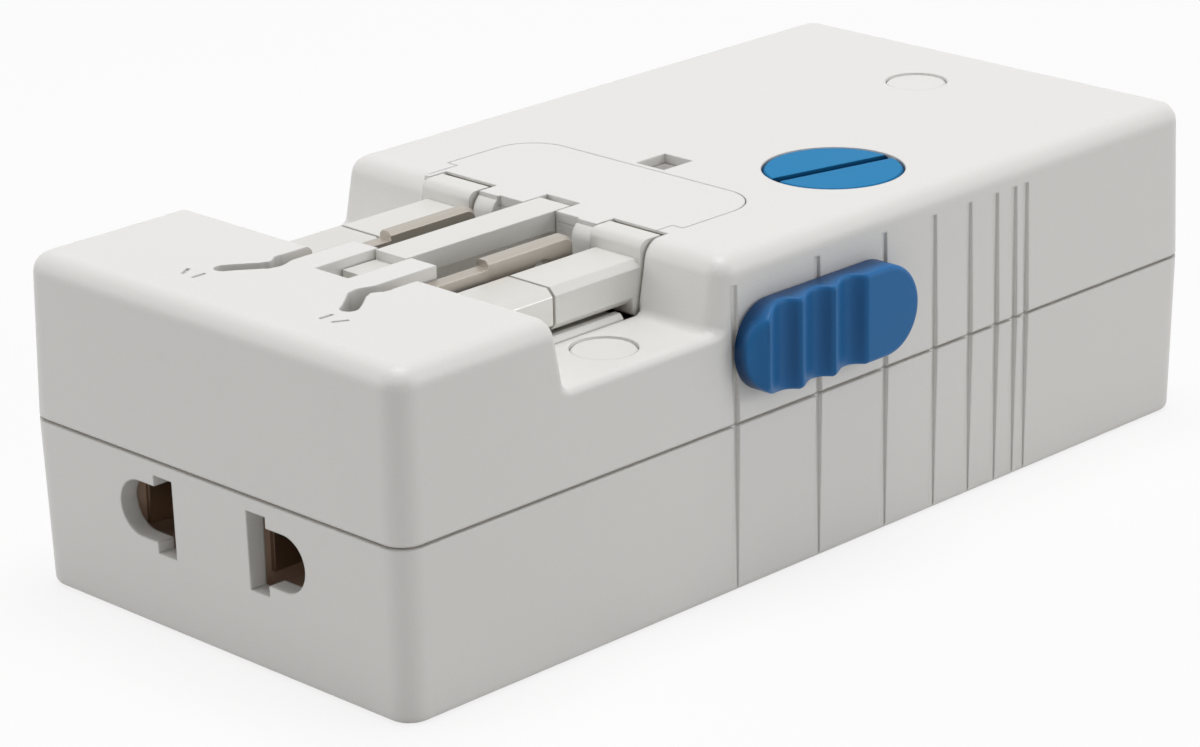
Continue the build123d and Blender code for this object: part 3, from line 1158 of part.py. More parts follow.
def nodes():
    """Every piece of the adapter under its name."""
    made = {
        "lower_shell": lower_shell(),
        "upper_shell": upper_shell(),
        "hinge_cover": hinge_cover(),
        "indicator_lens": indicator_lens(),
        "indicator_board": indicator_board(),
        "indicator_led": indicator_led(),
        "screw_covers": screw_covers(),
        "case_screws": case_screws(),
        "front_axle": front_axle(),
        "rear_axles": rear_axles(),
        "earth_pin": at_plug(earth_pin()),
        "slider_knob": slider_knob(),
        "slider_carriage": slider_carriage(),
        "lock_bar": lock_bar(),
        "fuse_body": fuse_body(),
        "fuse_end_caps": fuse_end_caps(),
        "fuse_cap": fuse_cap(),
        "fuse_holder": fuse_holder(),
        "fuse_bottom_contact": fuse_bottom_contact(),
        "live_strip": live_strip(),
        "fused_live_strip": fused_live_strip(),
        "neutral_strip": neutral_strip(),
        "socket_block": socket_block(),
        "charger_board": charger_board(),
        "transformer_core": transformer_core(),
        "transformer_winding": transformer_winding(),
        "capacitors": capacitors(),
        "controller_chip": controller_chip(),
        "usb_shell": usb_shell(),
        "usb_tongue": usb_tongue(),
        "usb_contacts": usb_contacts(),
    }
    for side, name in ((-1, "live"), (1, "neutral")):
        made[f"{name}_pin"] = at_plug(power_pin(side))
        made[f"{name}_pin_sleeve"] = at_plug(power_pin_sleeve(side))
        made[f"{name}_blade"] = at_plug(blade(side))
        made[f"{name}_blade_bushing"] = at_plug(blade_bushing(side))
        made[f"{name}_socket_contact"] = socket_contact(side)
    return made


if __name__ == "__main__":
    os.makedirs("parts", exist_ok=True)
    for name, shape in nodes().items():
        solids = shape if isinstance(shape, list) else [shape]
        export_step(Compound(children=[s for piece in solids for s in piece.solids()]), f"parts/{name}.step")
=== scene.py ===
"""Travel adapter with folding plug pins: finishes, small repeated parts, floor, light and camera."""

from __future__ import annotations

import json
import logging
import math
from dataclasses import dataclass, field
from enum import Enum

import bmesh
import bpy
from mathutils import Matrix, Vector

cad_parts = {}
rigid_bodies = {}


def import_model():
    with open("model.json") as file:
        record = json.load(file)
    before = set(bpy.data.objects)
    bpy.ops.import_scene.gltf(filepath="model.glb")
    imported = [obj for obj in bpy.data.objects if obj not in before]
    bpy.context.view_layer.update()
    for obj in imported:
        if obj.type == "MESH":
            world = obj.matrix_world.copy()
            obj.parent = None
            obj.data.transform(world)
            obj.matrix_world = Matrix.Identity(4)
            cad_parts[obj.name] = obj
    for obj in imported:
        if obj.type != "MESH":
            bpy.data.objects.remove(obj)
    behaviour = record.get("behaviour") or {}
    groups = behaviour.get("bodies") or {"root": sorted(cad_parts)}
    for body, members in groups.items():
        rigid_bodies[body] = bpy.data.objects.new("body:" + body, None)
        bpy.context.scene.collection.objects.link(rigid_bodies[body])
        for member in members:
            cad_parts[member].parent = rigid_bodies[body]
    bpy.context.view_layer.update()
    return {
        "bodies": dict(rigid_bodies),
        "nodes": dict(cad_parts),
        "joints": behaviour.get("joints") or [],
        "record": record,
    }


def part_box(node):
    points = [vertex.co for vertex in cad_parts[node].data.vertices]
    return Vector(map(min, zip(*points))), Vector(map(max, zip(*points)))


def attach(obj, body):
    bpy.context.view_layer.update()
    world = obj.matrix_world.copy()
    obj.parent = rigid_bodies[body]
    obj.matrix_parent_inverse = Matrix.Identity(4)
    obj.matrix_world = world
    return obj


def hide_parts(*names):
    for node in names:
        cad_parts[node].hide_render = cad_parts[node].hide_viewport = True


log = logging.getLogger("adapter")

MM = 0.001
PHOTO_WIDE = 1200
PHOTO_TALL = 747
SENSOR_MM = 36.0
CLIP_NEAR = 0.01
CLIP_FAR = 20.0

MERGE_DISTANCE = 1e-7
CLOUD_SPAN = (0.3, 0.7)
PIT_SHARE = 0.5
BURIED_SPAN = (0.14, 0.02)
EDGE_SPAN = (0.98, 0.8)
EDGE_POLISH = 0.25
LINE_STRETCH = (0.06, 1.0, 1.0)
LINE_SPAN = (0.25, 0.75)
COAT_ROUGHNESS = 0.2
TRACK_CELLS = 320.0
TRACK_SPAN = (0.4, 0.44)
TRACK_SHARE = 0.6

Color = tuple[float, float, float]
Point = tuple[float, float, float]

TRACK_GREEN: Color = (0.12, 0.42, 0.16)
WHITE: Color = (1.0, 1.0, 1.0)


class Surface(Enum):
    """The kinds of surface that the adapter's materials are made of."""

    MOULDED = "moulded"
    METAL = "metal"
    CLEAR = "clear"
    BOARD = "board"


class Sketch:
    """Adds nodes to one node tree and joins them."""

    def __init__(self, tree: bpy.types.NodeTree) -> None:
        """Keeps the tree that the nodes go into.

        Args:
            tree: The material's or group's node tree.
        """
        self.tree = tree

    def add(self, kind: str, inputs: dict | None = None, **settings: object) -> bpy.types.Node:
        """Makes a node, sets its properties, and fills or joins its inputs.

        Args:
            kind: The node's type name.
            inputs: Values or output sockets, by the input's name or number.
            settings: Properties of the node.

        Returns:
            The new node.
        """
        node = self.tree.nodes.new(kind)
        for name, value in settings.items():
            setattr(node, name, value)
        self.fill(node, inputs or {})
        return node

    def fill(self, node: bpy.types.Node, inputs: dict) -> None:
        """Sets a node's inputs, or joins sockets to them.

        Args:
            node: The node.
            inputs: Values or output sockets, by the input's name or number.
        """
        for key, value in inputs.items():
            if isinstance(value, bpy.types.NodeSocket):
                self.tree.links.new(value, node.inputs[key])
            else:
                node.inputs[key].default_value = value

    def group(self, tree: bpy.types.NodeTree, inputs: dict) -> bpy.types.Node:
        """Places a shared node group with its inputs.

        Args:
            tree: The group's tree.
            inputs: Values or output sockets, by the input's name.

        Returns:
            The group's node.
        """
        return self.add("ShaderNodeGroup", inputs, node_tree=tree)

    def math(self, operation: str, first: object, second: object = 0.0,
             clamp: bool = False) -> bpy.types.NodeSocket:
        """Joins two values by a Math node.

        Args:
            operation: The Math node's operation.
            first: A number or a socket.
            second: A number or a socket.
            clamp: Keeps the result between 0 and 1.

        Returns:
            The node's output socket.
        """
        node = self.add("ShaderNodeMath", {0: first, 1: second}, operation=operation, use_clamp=clamp)
        return node.outputs[0]

    def ranged(self, value: bpy.types.NodeSocket, source: tuple[object, object],
               target: tuple[object, object]) -> bpy.types.NodeSocket:
        """Maps a value from one range to another, and stops at its ends.

        Args:
            value: The socket to map.
            source: The range that the value comes in.
            target: The range that it goes out in.

        Returns:
            The mapped value's socket.
        """
        ends = {"From Min": source[0], "From Max": source[1], "To Min": target[0], "To Max": target[1]}
        return self.add("ShaderNodeMapRange", {"Value": value, **ends}).outputs["Result"]

    def tinted(self, factor: object, first: object, second: object,
               blend: str = "MIX") -> bpy.types.NodeSocket:
        """Mixes two colours.

        Args:
            factor: How much of the second colour shows.
            first: A colour or a socket.
            second: A colour or a socket.
            blend: The blend type.

        Returns:
            The mixed colour's socket.
        """
        node = self.add("ShaderNodeMix", {0: factor, 6: first, 7: second}, data_type="RGBA", blend_type=blend)
        return node.outputs[2]

    def seen_directly(self) -> bpy.types.NodeSocket:
        """Masks the rays that show a surface: from the camera, off a gloss or through something clear.

        Returns:
            The mask's socket, 1 for those rays and 0 for light that only fills the room.
        """
        path = self.add("ShaderNodeLightPath").outputs
        bent = self.math("MAXIMUM", path["Is Glossy Ray"], path["Is Transmission Ray"])
        return self.math("MAXIMUM", path["Is Camera Ray"], bent)


class GroupSketch(Sketch):
    """A shader node group with named inputs and outputs."""

    def __init__(self, name: str, inputs: dict[str, object], outputs: dict[str, str]) -> None:
        """Makes the group's tree and its sockets.

        Args:
            name: The group's name.
            inputs: Each input's name with its default, a number or a colour.
            outputs: Each output's name with its socket type.
        """
        tree = bpy.data.node_groups.new(name, "ShaderNodeTree")
        super().__init__(tree)
        for label, value in inputs.items():
            kind = "NodeSocketColor" if isinstance(value, tuple) else "NodeSocketFloat"
            socket = tree.interface.new_socket(label, in_out="INPUT", socket_type=kind)
            socket.default_value = value
        for label, kind in outputs.items():
            tree.interface.new_socket(label, in_out="OUTPUT", socket_type=kind)
        self.given = self.add("NodeGroupInput").outputs
        self.result = self.add("NodeGroupOutput").inputs

    def give(self, label: str, socket: bpy.types.NodeSocket) -> None:
        """Joins a socket to one of the group's outputs."""
        self.tree.links.new(socket, self.result[label])


@dataclass
class Effects:
    """The shader groups that several finishes share, each built once."""

    mottle: bpy.types.NodeTree = field(init=False)
    crevice_shade: bpy.types.NodeTree = field(init=False)
    edges: bpy.types.NodeTree = field(init=False)
    brushing: bpy.types.NodeTree = field(init=False)

    def __post_init__(self) -> None:
        """Builds every group."""
        self.mottle = self._mottle()
        self.crevice_shade = self._crevice_shade()
        self.edges = self._edges()
        self.brushing = self._brushing()

    @staticmethod
    def _mottle() -> bpy.types.NodeTree:
        """Builds the fine grain, flow clouds and gloss changes of a moulded surface."""
        sketch = GroupSketch(
            "moulded_grain",
            {"Color": (0.8, 0.8, 0.8, 1.0), "Tone": 0.02, "Cloud Scale": 60.0, "Grain Scale": 3500.0,
             "Roughness": 0.4, "Gloss Shift": 0.06},
            {"Color": "NodeSocketColor", "Roughness": "NodeSocketFloat", "Height": "NodeSocketFloat"})
        place = sketch.add("ShaderNodeTexCoord").outputs["Object"]
        given = sketch.given
        clouds = sketch.add("ShaderNodeTexNoise", {"Vector": place, "Scale": given["Cloud Scale"],
                                                   "Detail": 3.0, "Roughness": 0.55}).outputs[0]
        low = sketch.math("SUBTRACT", 1.0, given["Tone"])
        shade = sketch.ranged(clouds, CLOUD_SPAN, (low, 1.0))
        tone = sketch.add("ShaderNodeCombineColor", {0: shade, 1: shade, 2: shade}).outputs[0]
        sketch.give("Color", sketch.tinted(1.0, given["Color"], tone, "MULTIPLY"))
        grain = sketch.add("ShaderNodeTexNoise", {"Vector": place, "Scale": given["Grain Scale"],
                                                  "Detail": 2.0, "Roughness": 0.6}).outputs[0]
        pits = sketch.add("ShaderNodeTexVoronoi", {"Vector": place, "Scale": given["Grain Scale"]}).outputs[0]
        sketch.give("Height", sketch.math("ADD", grain, sketch.math("MULTIPLY", pits, PIT_SHARE)))
        low_gloss = sketch.math("SUBTRACT", given["Roughness"], given["Gloss Shift"])
        high_gloss = sketch.math("ADD", given["Roughness"], given["Gloss Shift"])
        sketch.give("Roughness", sketch.ranged(clouds, CLOUD_SPAN, (low_gloss, high_gloss)))
        return sketch.tree

    @staticmethod
    def _crevice_shade() -> bpy.types.NodeTree:
        """Builds painted shade by ambient occlusion: a faint tint in inner corners and a dark colour in deep
        narrow gaps.
        """
        sketch = GroupSketch(
            "painted_crevice_shade",
            {"Color": (0.8, 0.8, 0.8, 1.0), "Shade Tint": (0.3, 0.26, 0.2, 1.0), "Depth": (0.1, 0.085, 0.07, 1.0),
             "Reach": 0.8 * MM, "Amount": 0.5, "First": 0.45, "Full": 0.0},
            {"Color": "NodeSocketColor"})
        given = sketch.given
        # Painted shade: the colour darkens where ambient occlusion finds the surface hidden, in corners,
        # grooves and gaps.
        shaded = sketch.add("ShaderNodeAmbientOcclusion", {"Distance": given["Reach"]}, samples=8)
        open_air = shaded.outputs["AO"]
        hidden = sketch.ranged(open_air, (given["First"], given["Full"]), (0.0, 1.0))
        amount = sketch.math("MULTIPLY", hidden, given["Amount"], clamp=True)
        shaded_color = sketch.tinted(amount, given["Color"], given["Shade Tint"])
        deepest = sketch.ranged(open_air, BURIED_SPAN, (0.0, 1.0))
        buried = sketch.math("MULTIPLY", deepest, given["Amount"], clamp=True)
        sketch.give("Color", sketch.tinted(buried, shaded_color, given["Depth"]))
        return sketch.tree

    @staticmethod
    def _edges() -> bpy.types.NodeTree:
        """Builds the rounded look of small edges and a mask of the edges that hands polish."""
        sketch = GroupSketch("worn_edges", {"Radius": 0.15 * MM},
                             {"Normal": "NodeSocketVector", "Edge": "NodeSocketFloat"})
        soft = sketch.add("ShaderNodeBevel", {"Radius": sketch.given["Radius"]}, samples=6).outputs[0]
        flat = sketch.add("ShaderNodeNewGeometry").outputs["Normal"]
        agreeing = sketch.add("ShaderNodeVectorMath", {0: soft, 1: flat}, operation="DOT_PRODUCT")
        sketch.give("Normal", soft)
        sketch.give("Edge", sketch.ranged(agreeing.outputs["Value"], EDGE_SPAN, (0.0, 1.0)))
        return sketch.tree

    @staticmethod
    def _brushing() -> bpy.types.NodeTree:
        """Builds the fine lines that rolling and polishing leave on metal."""
        sketch = GroupSketch(
            "rolled_lines", {"Scale": 900.0, "Roughness": 0.25, "Shift": 0.1},
            {"Roughness": "NodeSocketFloat", "Height": "NodeSocketFloat"})
        place = sketch.add("ShaderNodeTexCoord").outputs["Object"]
        drawn = sketch.add("ShaderNodeMapping", {"Vector": place, "Scale": LINE_STRETCH}).outputs[0]
        lines = sketch.add("ShaderNodeTexNoise", {"Vector": drawn, "Scale": sketch.given["Scale"],
                                                  "Detail": 4.0, "Roughness": 0.7}).outputs[0]
        low = sketch.math("SUBTRACT", sketch.given["Roughness"], sketch.given["Shift"])
        high = sketch.math("ADD", sketch.given["Roughness"], sketch.given["Shift"])
        sketch.give("Roughness", sketch.ranged(lines, LINE_SPAN, (low, high)))
        sketch.give("Height", lines)
        return sketch.tree


@dataclass(frozen=True)
class Finish:
    """One material: its record slot, its colour and how its surface is made.

    Hollows get painted shade, which begins where the ambient occlusion falls to the first level and is full
    at the full level. The deepest gaps get a darker painted shade.
    """

    slot: str
    surface: Surface
    color: Color
    roughness: float
    tone: float = 0.02
    cloud_scale: float = 60.0
    grain_scale: float = 3500.0
    grain_height: float = 0.012 * MM
    gloss_shift: float = 0.05
    edge_radius: float = 0.15 * MM
    # Painted shade of the hollows: its tint, reach, amount, start and full levels, and the colour of the
    # deepest gaps.
    shade_tint: Color = (0.3, 0.26, 0.2)
    shade_reach: float = 0.8 * MM
    shade_amount: float = 0.5
    shade_first: float = 0.45
    shade_full: float = 0.0
    deep_shade: Color = (0.1, 0.085, 0.07)
    specular: float = 0.5
    coat: float = 0.0
    transmission: float = 0.0

    def build(self, effects: Effects) -> bpy.types.Material:
        """Makes the material with its nodes.

        Args:
            effects: The shared shader groups.

        Returns:
            The finished material.
        """
        material = bpy.data.materials.new(self.slot)
        material.use_nodes = True
        material.node_tree.nodes.clear()
        sketch = Sketch(material.node_tree)
        metallic = 1.0 if self.surface is Surface.METAL else 0.0
        edges = sketch.group(effects.edges, {"Radius": self.edge_radius}).outputs
        grain = sketch.group(effects.mottle, {
            "Color": (*self.color, 1.0), "Tone": self.tone, "Cloud Scale": self.cloud_scale,
            "Grain Scale": self.grain_scale, "Roughness": self.roughness,
            "Gloss Shift": self.gloss_shift}).outputs
        rough, height, color = grain["Roughness"], grain["Height"], grain["Color"]
        if self.surface is Surface.METAL:
            lines = sketch.group(effects.brushing, {
                "Roughness": self.roughness, "Shift": self.gloss_shift}).outputs
            rough, height = lines["Roughness"], lines["Height"]
        if self.surface is Surface.BOARD:
            color = self._tracks(sketch, color)
        # Painted shade in the hollows, mixed into the base colour.
        shaded_color = sketch.group(effects.crevice_shade, {
            "Color": color, "Shade Tint": (*self.shade_tint, 1.0), "Depth": (*self.deep_shade, 1.0), "Reach": self.shade_reach,
            "Amount": self.shade_amount, "First": self.shade_first, "Full": self.shade_full}).outputs["Color"]
        worn = sketch.math("MULTIPLY", edges["Edge"], EDGE_POLISH)
        polished = sketch.math("SUBTRACT", rough, sketch.math("MULTIPLY", worn, rough), clamp=True)
        bump = sketch.add("ShaderNodeBump", {"Height": height, "Normal": edges["Normal"], "Strength": 1.0,
                                             "Distance": self.grain_height}).outputs[0]
        shader = sketch.add("ShaderNodeBsdfPrincipled", {
            "Base Color": shaded_color, "Metallic": metallic, "Roughness": polished, "Normal": bump,
            "Specular IOR Level": self.specular, "Coat Weight": self.coat, "Coat Roughness": COAT_ROUGHNESS,
            "Transmission Weight": self.transmission}).outputs[0]
        sketch.add("ShaderNodeOutputMaterial", {"Surface": shader}, is_active_output=True)
        material.diffuse_color = (*self.color, 1.0)
        return material

    @staticmethod
    def _tracks(sketch: Sketch, color: bpy.types.NodeSocket) -> bpy.types.NodeSocket:
        """Draws the paler lines of copper tracks under a board's green mask."""
        place = sketch.add("ShaderNodeTexCoord").outputs["Object"]
        cells = sketch.add("ShaderNodeTexVoronoi", {"Vector": place, "Scale": TRACK_CELLS},
                           distance="CHEBYCHEV", feature="F1").outputs[0]
        line = sketch.ranged(cells, TRACK_SPAN, (0.0, TRACK_SHARE))
        return sketch.tinted(line, color, (*TRACK_GREEN, 1.0))


# Painted shade colours that the finishes mix into their hollows.
WARM_SHADE = (0.60, 0.53, 0.45)
BLUE_SHADE = (0.004, 0.05, 0.15)
FINISHES = (
    Finish("case_white", Surface.MOULDED, (0.84, 0.83, 0.81), 0.42, tone=0.015, edge_radius=0.3 * MM,
           shade_tint=WARM_SHADE, shade_reach=3.5 * MM, shade_amount=0.65, shade_first=0.3, deep_shade=(0.54, 0.5, 0.45)),
    Finish("pin_white", Surface.MOULDED, (0.81, 0.80, 0.765), 0.36, tone=0.015, shade_tint=WARM_SHADE,
           shade_reach=3.5 * MM, shade_amount=0.5, deep_shade=(0.5, 0.46, 0.4)),
    # The slider's flutes and the cap's slot get a dark blue painted shade.
    Finish("slider_blue", Surface.MOULDED, (0.014, 0.15, 0.40), 0.42, tone=0.06, shade_tint=BLUE_SHADE,
           shade_reach=3.5 * MM, shade_amount=1.0, shade_first=1.0, shade_full=0.6, deep_shade=BLUE_SHADE,
           specular=0.27),
    Finish("cap_blue", Surface.MOULDED, (0.016, 0.235, 0.51), 0.55, tone=0.06, shade_tint=BLUE_SHADE,
           shade_reach=1.5 * MM, shade_amount=0.95, shade_first=0.9, shade_full=0.4, deep_shade=BLUE_SHADE,
           specular=0.08),
    Finish("plug_metal", Surface.METAL, (0.70, 0.69, 0.66), 0.34, edge_radius=0.1 * MM,
           grain_height=0.002 * MM, shade_tint=(0.5, 0.48, 0.45), shade_amount=0.3, deep_shade=(0.45, 0.43, 0.4)),
    # The blade metal is darker than the plug metal partly as painted shade, for blades that lie deep in the
    # pocket.
    Finish("blade_metal", Surface.METAL, (0.46, 0.425, 0.38), 0.42, edge_radius=0.1 * MM,
           grain_height=0.002 * MM, shade_tint=(0.2, 0.18, 0.155), shade_reach=3.5 * MM, shade_amount=0.7,
           shade_first=0.6),
    Finish("axle_steel", Surface.METAL, (0.6, 0.6, 0.6), 0.3, edge_radius=0.1 * MM, grain_height=0.002 * MM),
    Finish("screw_steel", Surface.METAL, (0.5, 0.5, 0.5), 0.32, edge_radius=0.08 * MM,
           grain_height=0.002 * MM),
    Finish("contact_brass", Surface.METAL, (0.40, 0.31, 0.23), 0.36, edge_radius=0.06 * MM,
           grain_height=0.002 * MM),
    Finish("lens_smoke", Surface.CLEAR, (0.72, 0.68, 0.65), 0.2, edge_radius=0.1 * MM,
           grain_height=0.001 * MM, transmission=0.4),
    Finish("led_clear", Surface.CLEAR, (0.75, 0.10, 0.08), 0.1, grain_height=0.001 * MM, transmission=0.5),
    Finish("board_green", Surface.BOARD, (0.05, 0.22, 0.10), 0.4, tone=0.1, grain_height=0.004 * MM),
    Finish("inner_white", Surface.MOULDED, (0.78, 0.77, 0.74), 0.55, tone=0.03),
    Finish("inner_dark", Surface.MOULDED, (0.62, 0.46, 0.36), 0.5, tone=0.15, shade_amount=0.2),
    Finish("fuse_ceramic", Surface.MOULDED, (0.85, 0.83, 0.78), 0.25, tone=0.05, coat=0.3),
    Finish("ferrite", Surface.MOULDED, (0.07, 0.07, 0.075), 0.7, tone=0.2, grain_height=0.03 * MM),
    Finish("coil_tape", Surface.MOULDED, (0.62, 0.26, 0.08), 0.3, tone=0.1, coat=0.2),
    Finish("capacitor_sleeve", Surface.MOULDED, (0.04, 0.05, 0.09), 0.28, tone=0.1, coat=0.2),
    Finish("chip_black", Surface.MOULDED, (0.03, 0.03, 0.03), 0.6, tone=0.1, grain_height=0.01 * MM),
    Finish("usb_steel", Surface.METAL, (0.66, 0.66, 0.65), 0.26, edge_radius=0.08 * MM,
           grain_height=0.002 * MM),
    Finish("usb_insulator", Surface.MOULDED, (0.86, 0.86, 0.84), 0.5, tone=0.02),
)


class GeometrySketch(Sketch):
    """A geometry node tree with named inputs, run once on an object and baked."""

    def __init__(self, name: str, inputs: dict[str, object]) -> None:
        """Makes the tree with its geometry sockets and its named inputs.

        Args:
            name: The tree's name.
            inputs: Each input's name with its value, a number, an object or a material.
        """
        tree = bpy.data.node_groups.new(name, "GeometryNodeTree")
        super().__init__(tree)
        tree.interface.new_socket("Geometry", in_out="INPUT", socket_type="NodeSocketGeometry")
        tree.interface.new_socket("Geometry", in_out="OUTPUT", socket_type="NodeSocketGeometry")
        self.values: dict[str, object] = {}
        for label, value in inputs.items():
            socket = tree.interface.new_socket(label, in_out="INPUT", socket_type=self._kind(value))
            self.values[socket.identifier] = value
        self.given = self.add("NodeGroupInput").outputs
        self.result = self.add("NodeGroupOutput").inputs

    @staticmethod
    def _kind(value: object) -> str:
        """Names the socket type that holds a value."""
        if isinstance(value, int):
            return "NodeSocketInt"
        if isinstance(value, bpy.types.Object):
            return "NodeSocketObject"
        if isinstance(value, bpy.types.Material):
            return "NodeSocketMaterial"
        return "NodeSocketFloat"

    def finish(self, geometry: bpy.types.NodeSocket, material: bpy.types.NodeSocket) -> None:
        """Ends the tree in real geometry with its material.

        Args:
            geometry: The socket with the made geometry.
            material: The socket with the material.
        """
        real = self.add("GeometryNodeRealizeInstances", {"Geometry": geometry}).outputs[0]
        dressed = self.add("GeometryNodeSetMaterial", {"Geometry": real, "Material": material}).outputs[0]
        self.tree.links.new(dressed, self.result["Geometry"])

    def bake(self, base: bpy.types.Object, name: str) -> bpy.types.Object:
        """Runs the tree on an object and keeps the result as a plain mesh.

        Args:
            base: The object that the modifier goes on, which is removed.
            name: The new piece's name.

        Returns:
            The baked piece, with no modifier.
        """
        modifier = base.modifiers.new(self.tree.name, "NODES")
        modifier.node_group = self.tree
        for identifier, value in self.values.items():
            modifier[identifier] = value
        base.update_tag()
        bpy.context.view_layer.update()
        graph = bpy.context.evaluated_depsgraph_get()
        mesh = bpy.data.meshes.new_from_object(base.evaluated_get(graph), depsgraph=graph)
        base.modifiers.remove(modifier)
        bpy.data.objects.remove(base)
        return placed(mesh, name)


def placed(mesh: bpy.types.Mesh, name: str) -> bpy.types.Object:
    """Puts a mesh in the scene as a piece at the origin.

    Args:
        mesh: The finished mesh.
        name: The piece's name.

    Returns:
        The new object.
    """
    mesh.name = name
    piece = bpy.data.objects.new(name, mesh)
    bpy.context.scene.collection.objects.link(piece)
    return piece


def mesh_of(form: bmesh.types.BMesh, name: str, smooth: bool = True) -> bpy.types.Object:
    """Turns a bmesh into an object with outward faces.

    Args:
        form: The shape, which is freed.
        name: The object's name.
        smooth: Shades the faces smooth.

    Returns:
        The new object.
    """
    bmesh.ops.remove_doubles(form, verts=form.verts, dist=MERGE_DISTANCE)
    bmesh.ops.recalc_face_normals(form, faces=form.faces)
    for face in form.faces:
        face.smooth = smooth
    mesh = bpy.data.meshes.new(name)
    form.to_mesh(mesh)
    form.free()
    return placed(mesh, name)


def turned(form: bmesh.types.BMesh, profile: list[tuple[float, float]], segments: int) -> None:
    """Adds a body of revolution about Z to a bmesh.

    Args:
        form: The bmesh to add to.
        profile: Pairs of radius and height, from one end on the axis to the other.
        segments: How many steps go round.
    """
    rings = []
    for radius, height in profile:
        ring = []
        for step in range(segments):
            angle = 2 * math.pi * step / segments
            ring.append(form.verts.new((radius * math.cos(angle), radius * math.sin(angle), height)))
        rings.append(ring)
    for low, high in zip(rings, rings[1:]):
        for step in range(segments):
            after = (step + 1) % segments
            form.faces.new((low[step], low[after], high[after], high[step]))


@dataclass
class SliderGrip:
    """The fluted thumb piece on the side: a rounded pad with leaning flutes, on a short stem."""

    middle: Point = (-1.75 * MM, -25.1 * MM, 23.2 * MM)
    long: float = 22.0 * MM
    tall: float = 8.7 * MM
    proud: float = 2.8 * MM
    rim: float = 0.5 * MM
    step: float = 0.26 * MM
    rings: int = 18
    rim_steps: int = 6
    flute_pitch: float = 4.4 * MM
    flute_depth: float = 1.15 * MM
    flute_lean: float = 1.6
    flute_round: float = 2.2
    flutes_start: float = -15.6 * MM
    flutes: int = 4
    stem_x: float = -1.5 * MM
    stem_z: float = 22.8 * MM
    stem_long: float = 6.0 * MM
    stem_tall: float = 2.8 * MM
    stem_deep: float = 2.2 * MM
    stem_sunk: float = 0.05 * MM

    def _outline(self) -> list[tuple[Vector, Vector]]:
        """Walks round the stadium.

        Returns:
            Pairs of a point on the outline and its outward direction, in X and Z.
        """
        radius = self.tall / 2
        straight = self.long - self.tall
        half = straight / 2
        along = round(straight / self.step)
        round_steps = round(math.pi * radius / self.step)
        walk = []
        for side in (1, -1):
            for i in range(along):
                spot = Vector((side * (-half + straight * i / along), side * radius))
                walk.append((spot, Vector((0, side))))
            for i in range(round_steps):
                angle = math.pi / 2 - math.pi * i / round_steps
                way = Vector((side * math.cos(angle), side * math.sin(angle)))
                walk.append((Vector((side * half, 0)) + way * radius, way))
        return walk

    def _levels(self) -> list[tuple[float, float]]:
        """Lists each ring of the pad as how far in and how far out it lies."""
        levels = [(0.0, 0.0)]
        for i in range(self.rim_steps + 1):
            angle = math.pi / 2 * i / self.rim_steps
            levels.append((self.rim * (1 - math.cos(angle)), self.proud - self.rim * (1 - math.sin(angle))))
        inner = self.tall / 2 - self.rim
        levels += [(self.rim + inner * i / self.rings, self.proud) for i in range(1, self.rings + 1)]
        return levels

    def _pad(self) -> bpy.types.Object:
        """Builds the plain pad with its stem."""
        form = bmesh.new()
        x, y, z = self.middle
        walk = self._outline()
        rings = []
        for inset, out in self._levels():
            spots = [point - way * inset for point, way in walk]
            rings.append([form.verts.new((x + spot.x, y - out, z + spot.y)) for spot in spots])
        count = len(walk)
        for low, high in zip(rings, rings[1:]):
            for i in range(count):
                form.faces.new((low[i], low[(i + 1) % count], high[(i + 1) % count], high[i]))
        form.faces.new(rings[0])
        size = Matrix.Diagonal((self.stem_long, self.stem_deep, self.stem_tall, 1.0))
        middle = Matrix.Translation((self.stem_x, y + self.stem_deep / 2 - self.stem_sunk, self.stem_z))
        bmesh.ops.create_cube(form, size=1.0, matrix=middle @ size)
        return mesh_of(form, "grip_pad")

    def build(self, material: bpy.types.Material) -> bpy.types.Object:
        """Cuts the flutes into the pad by a geometry node tree.

        Args:
            material: The grip's finish.

        Returns:
            The finished grip.
        """
        sketch = GeometrySketch("grip_flutes", {
            "Pitch": self.flute_pitch, "Depth": self.flute_depth, "Start": self.flutes_start,
            "Count": float(self.flutes), "Lean": self.flute_lean, "Round": self.flute_round,
            "Back": self.middle[1], "Proud": self.proud, "Finish": material})
        given = sketch.given
        place = sketch.add("GeometryNodeInputPosition").outputs[0]
        spot = sketch.add("ShaderNodeSeparateXYZ", {0: place}).outputs
        turns = sketch.math("DIVIDE", sketch.math("SUBTRACT", spot[0], given["Start"]), given["Pitch"])
        inside = sketch.math("MULTIPLY", sketch.math("GREATER_THAN", turns, 0.0),
                             sketch.math("LESS_THAN", turns, given["Count"]))
        leaning = sketch.math("POWER", sketch.math("FRACT", turns), given["Lean"])
        swing = sketch.math("SUBTRACT", leaning, 0.5)
        reach = sketch.math("ABSOLUTE", sketch.math("MULTIPLY", swing, 2.0))
        bowl = sketch.math("POWER", reach, given["Round"])
        deep = sketch.math("MULTIPLY", sketch.math("SUBTRACT", 1.0, bowl), given["Depth"])
        risen = sketch.math("SUBTRACT", given["Back"], spot[1])
        out = sketch.math("DIVIDE", risen, given["Proud"], clamp=True)
        push = sketch.math("MULTIPLY", sketch.math("MULTIPLY", deep, inside), out)
        offset = sketch.add("ShaderNodeCombineXYZ", {1: push}).outputs[0]
        cut = sketch.add("GeometryNodeSetPosition", {"Geometry": given["Geometry"], "Offset": offset})
        sketch.finish(cut.outputs[0], given["Finish"])
        return sketch.bake(self._pad(), "slider_grip")


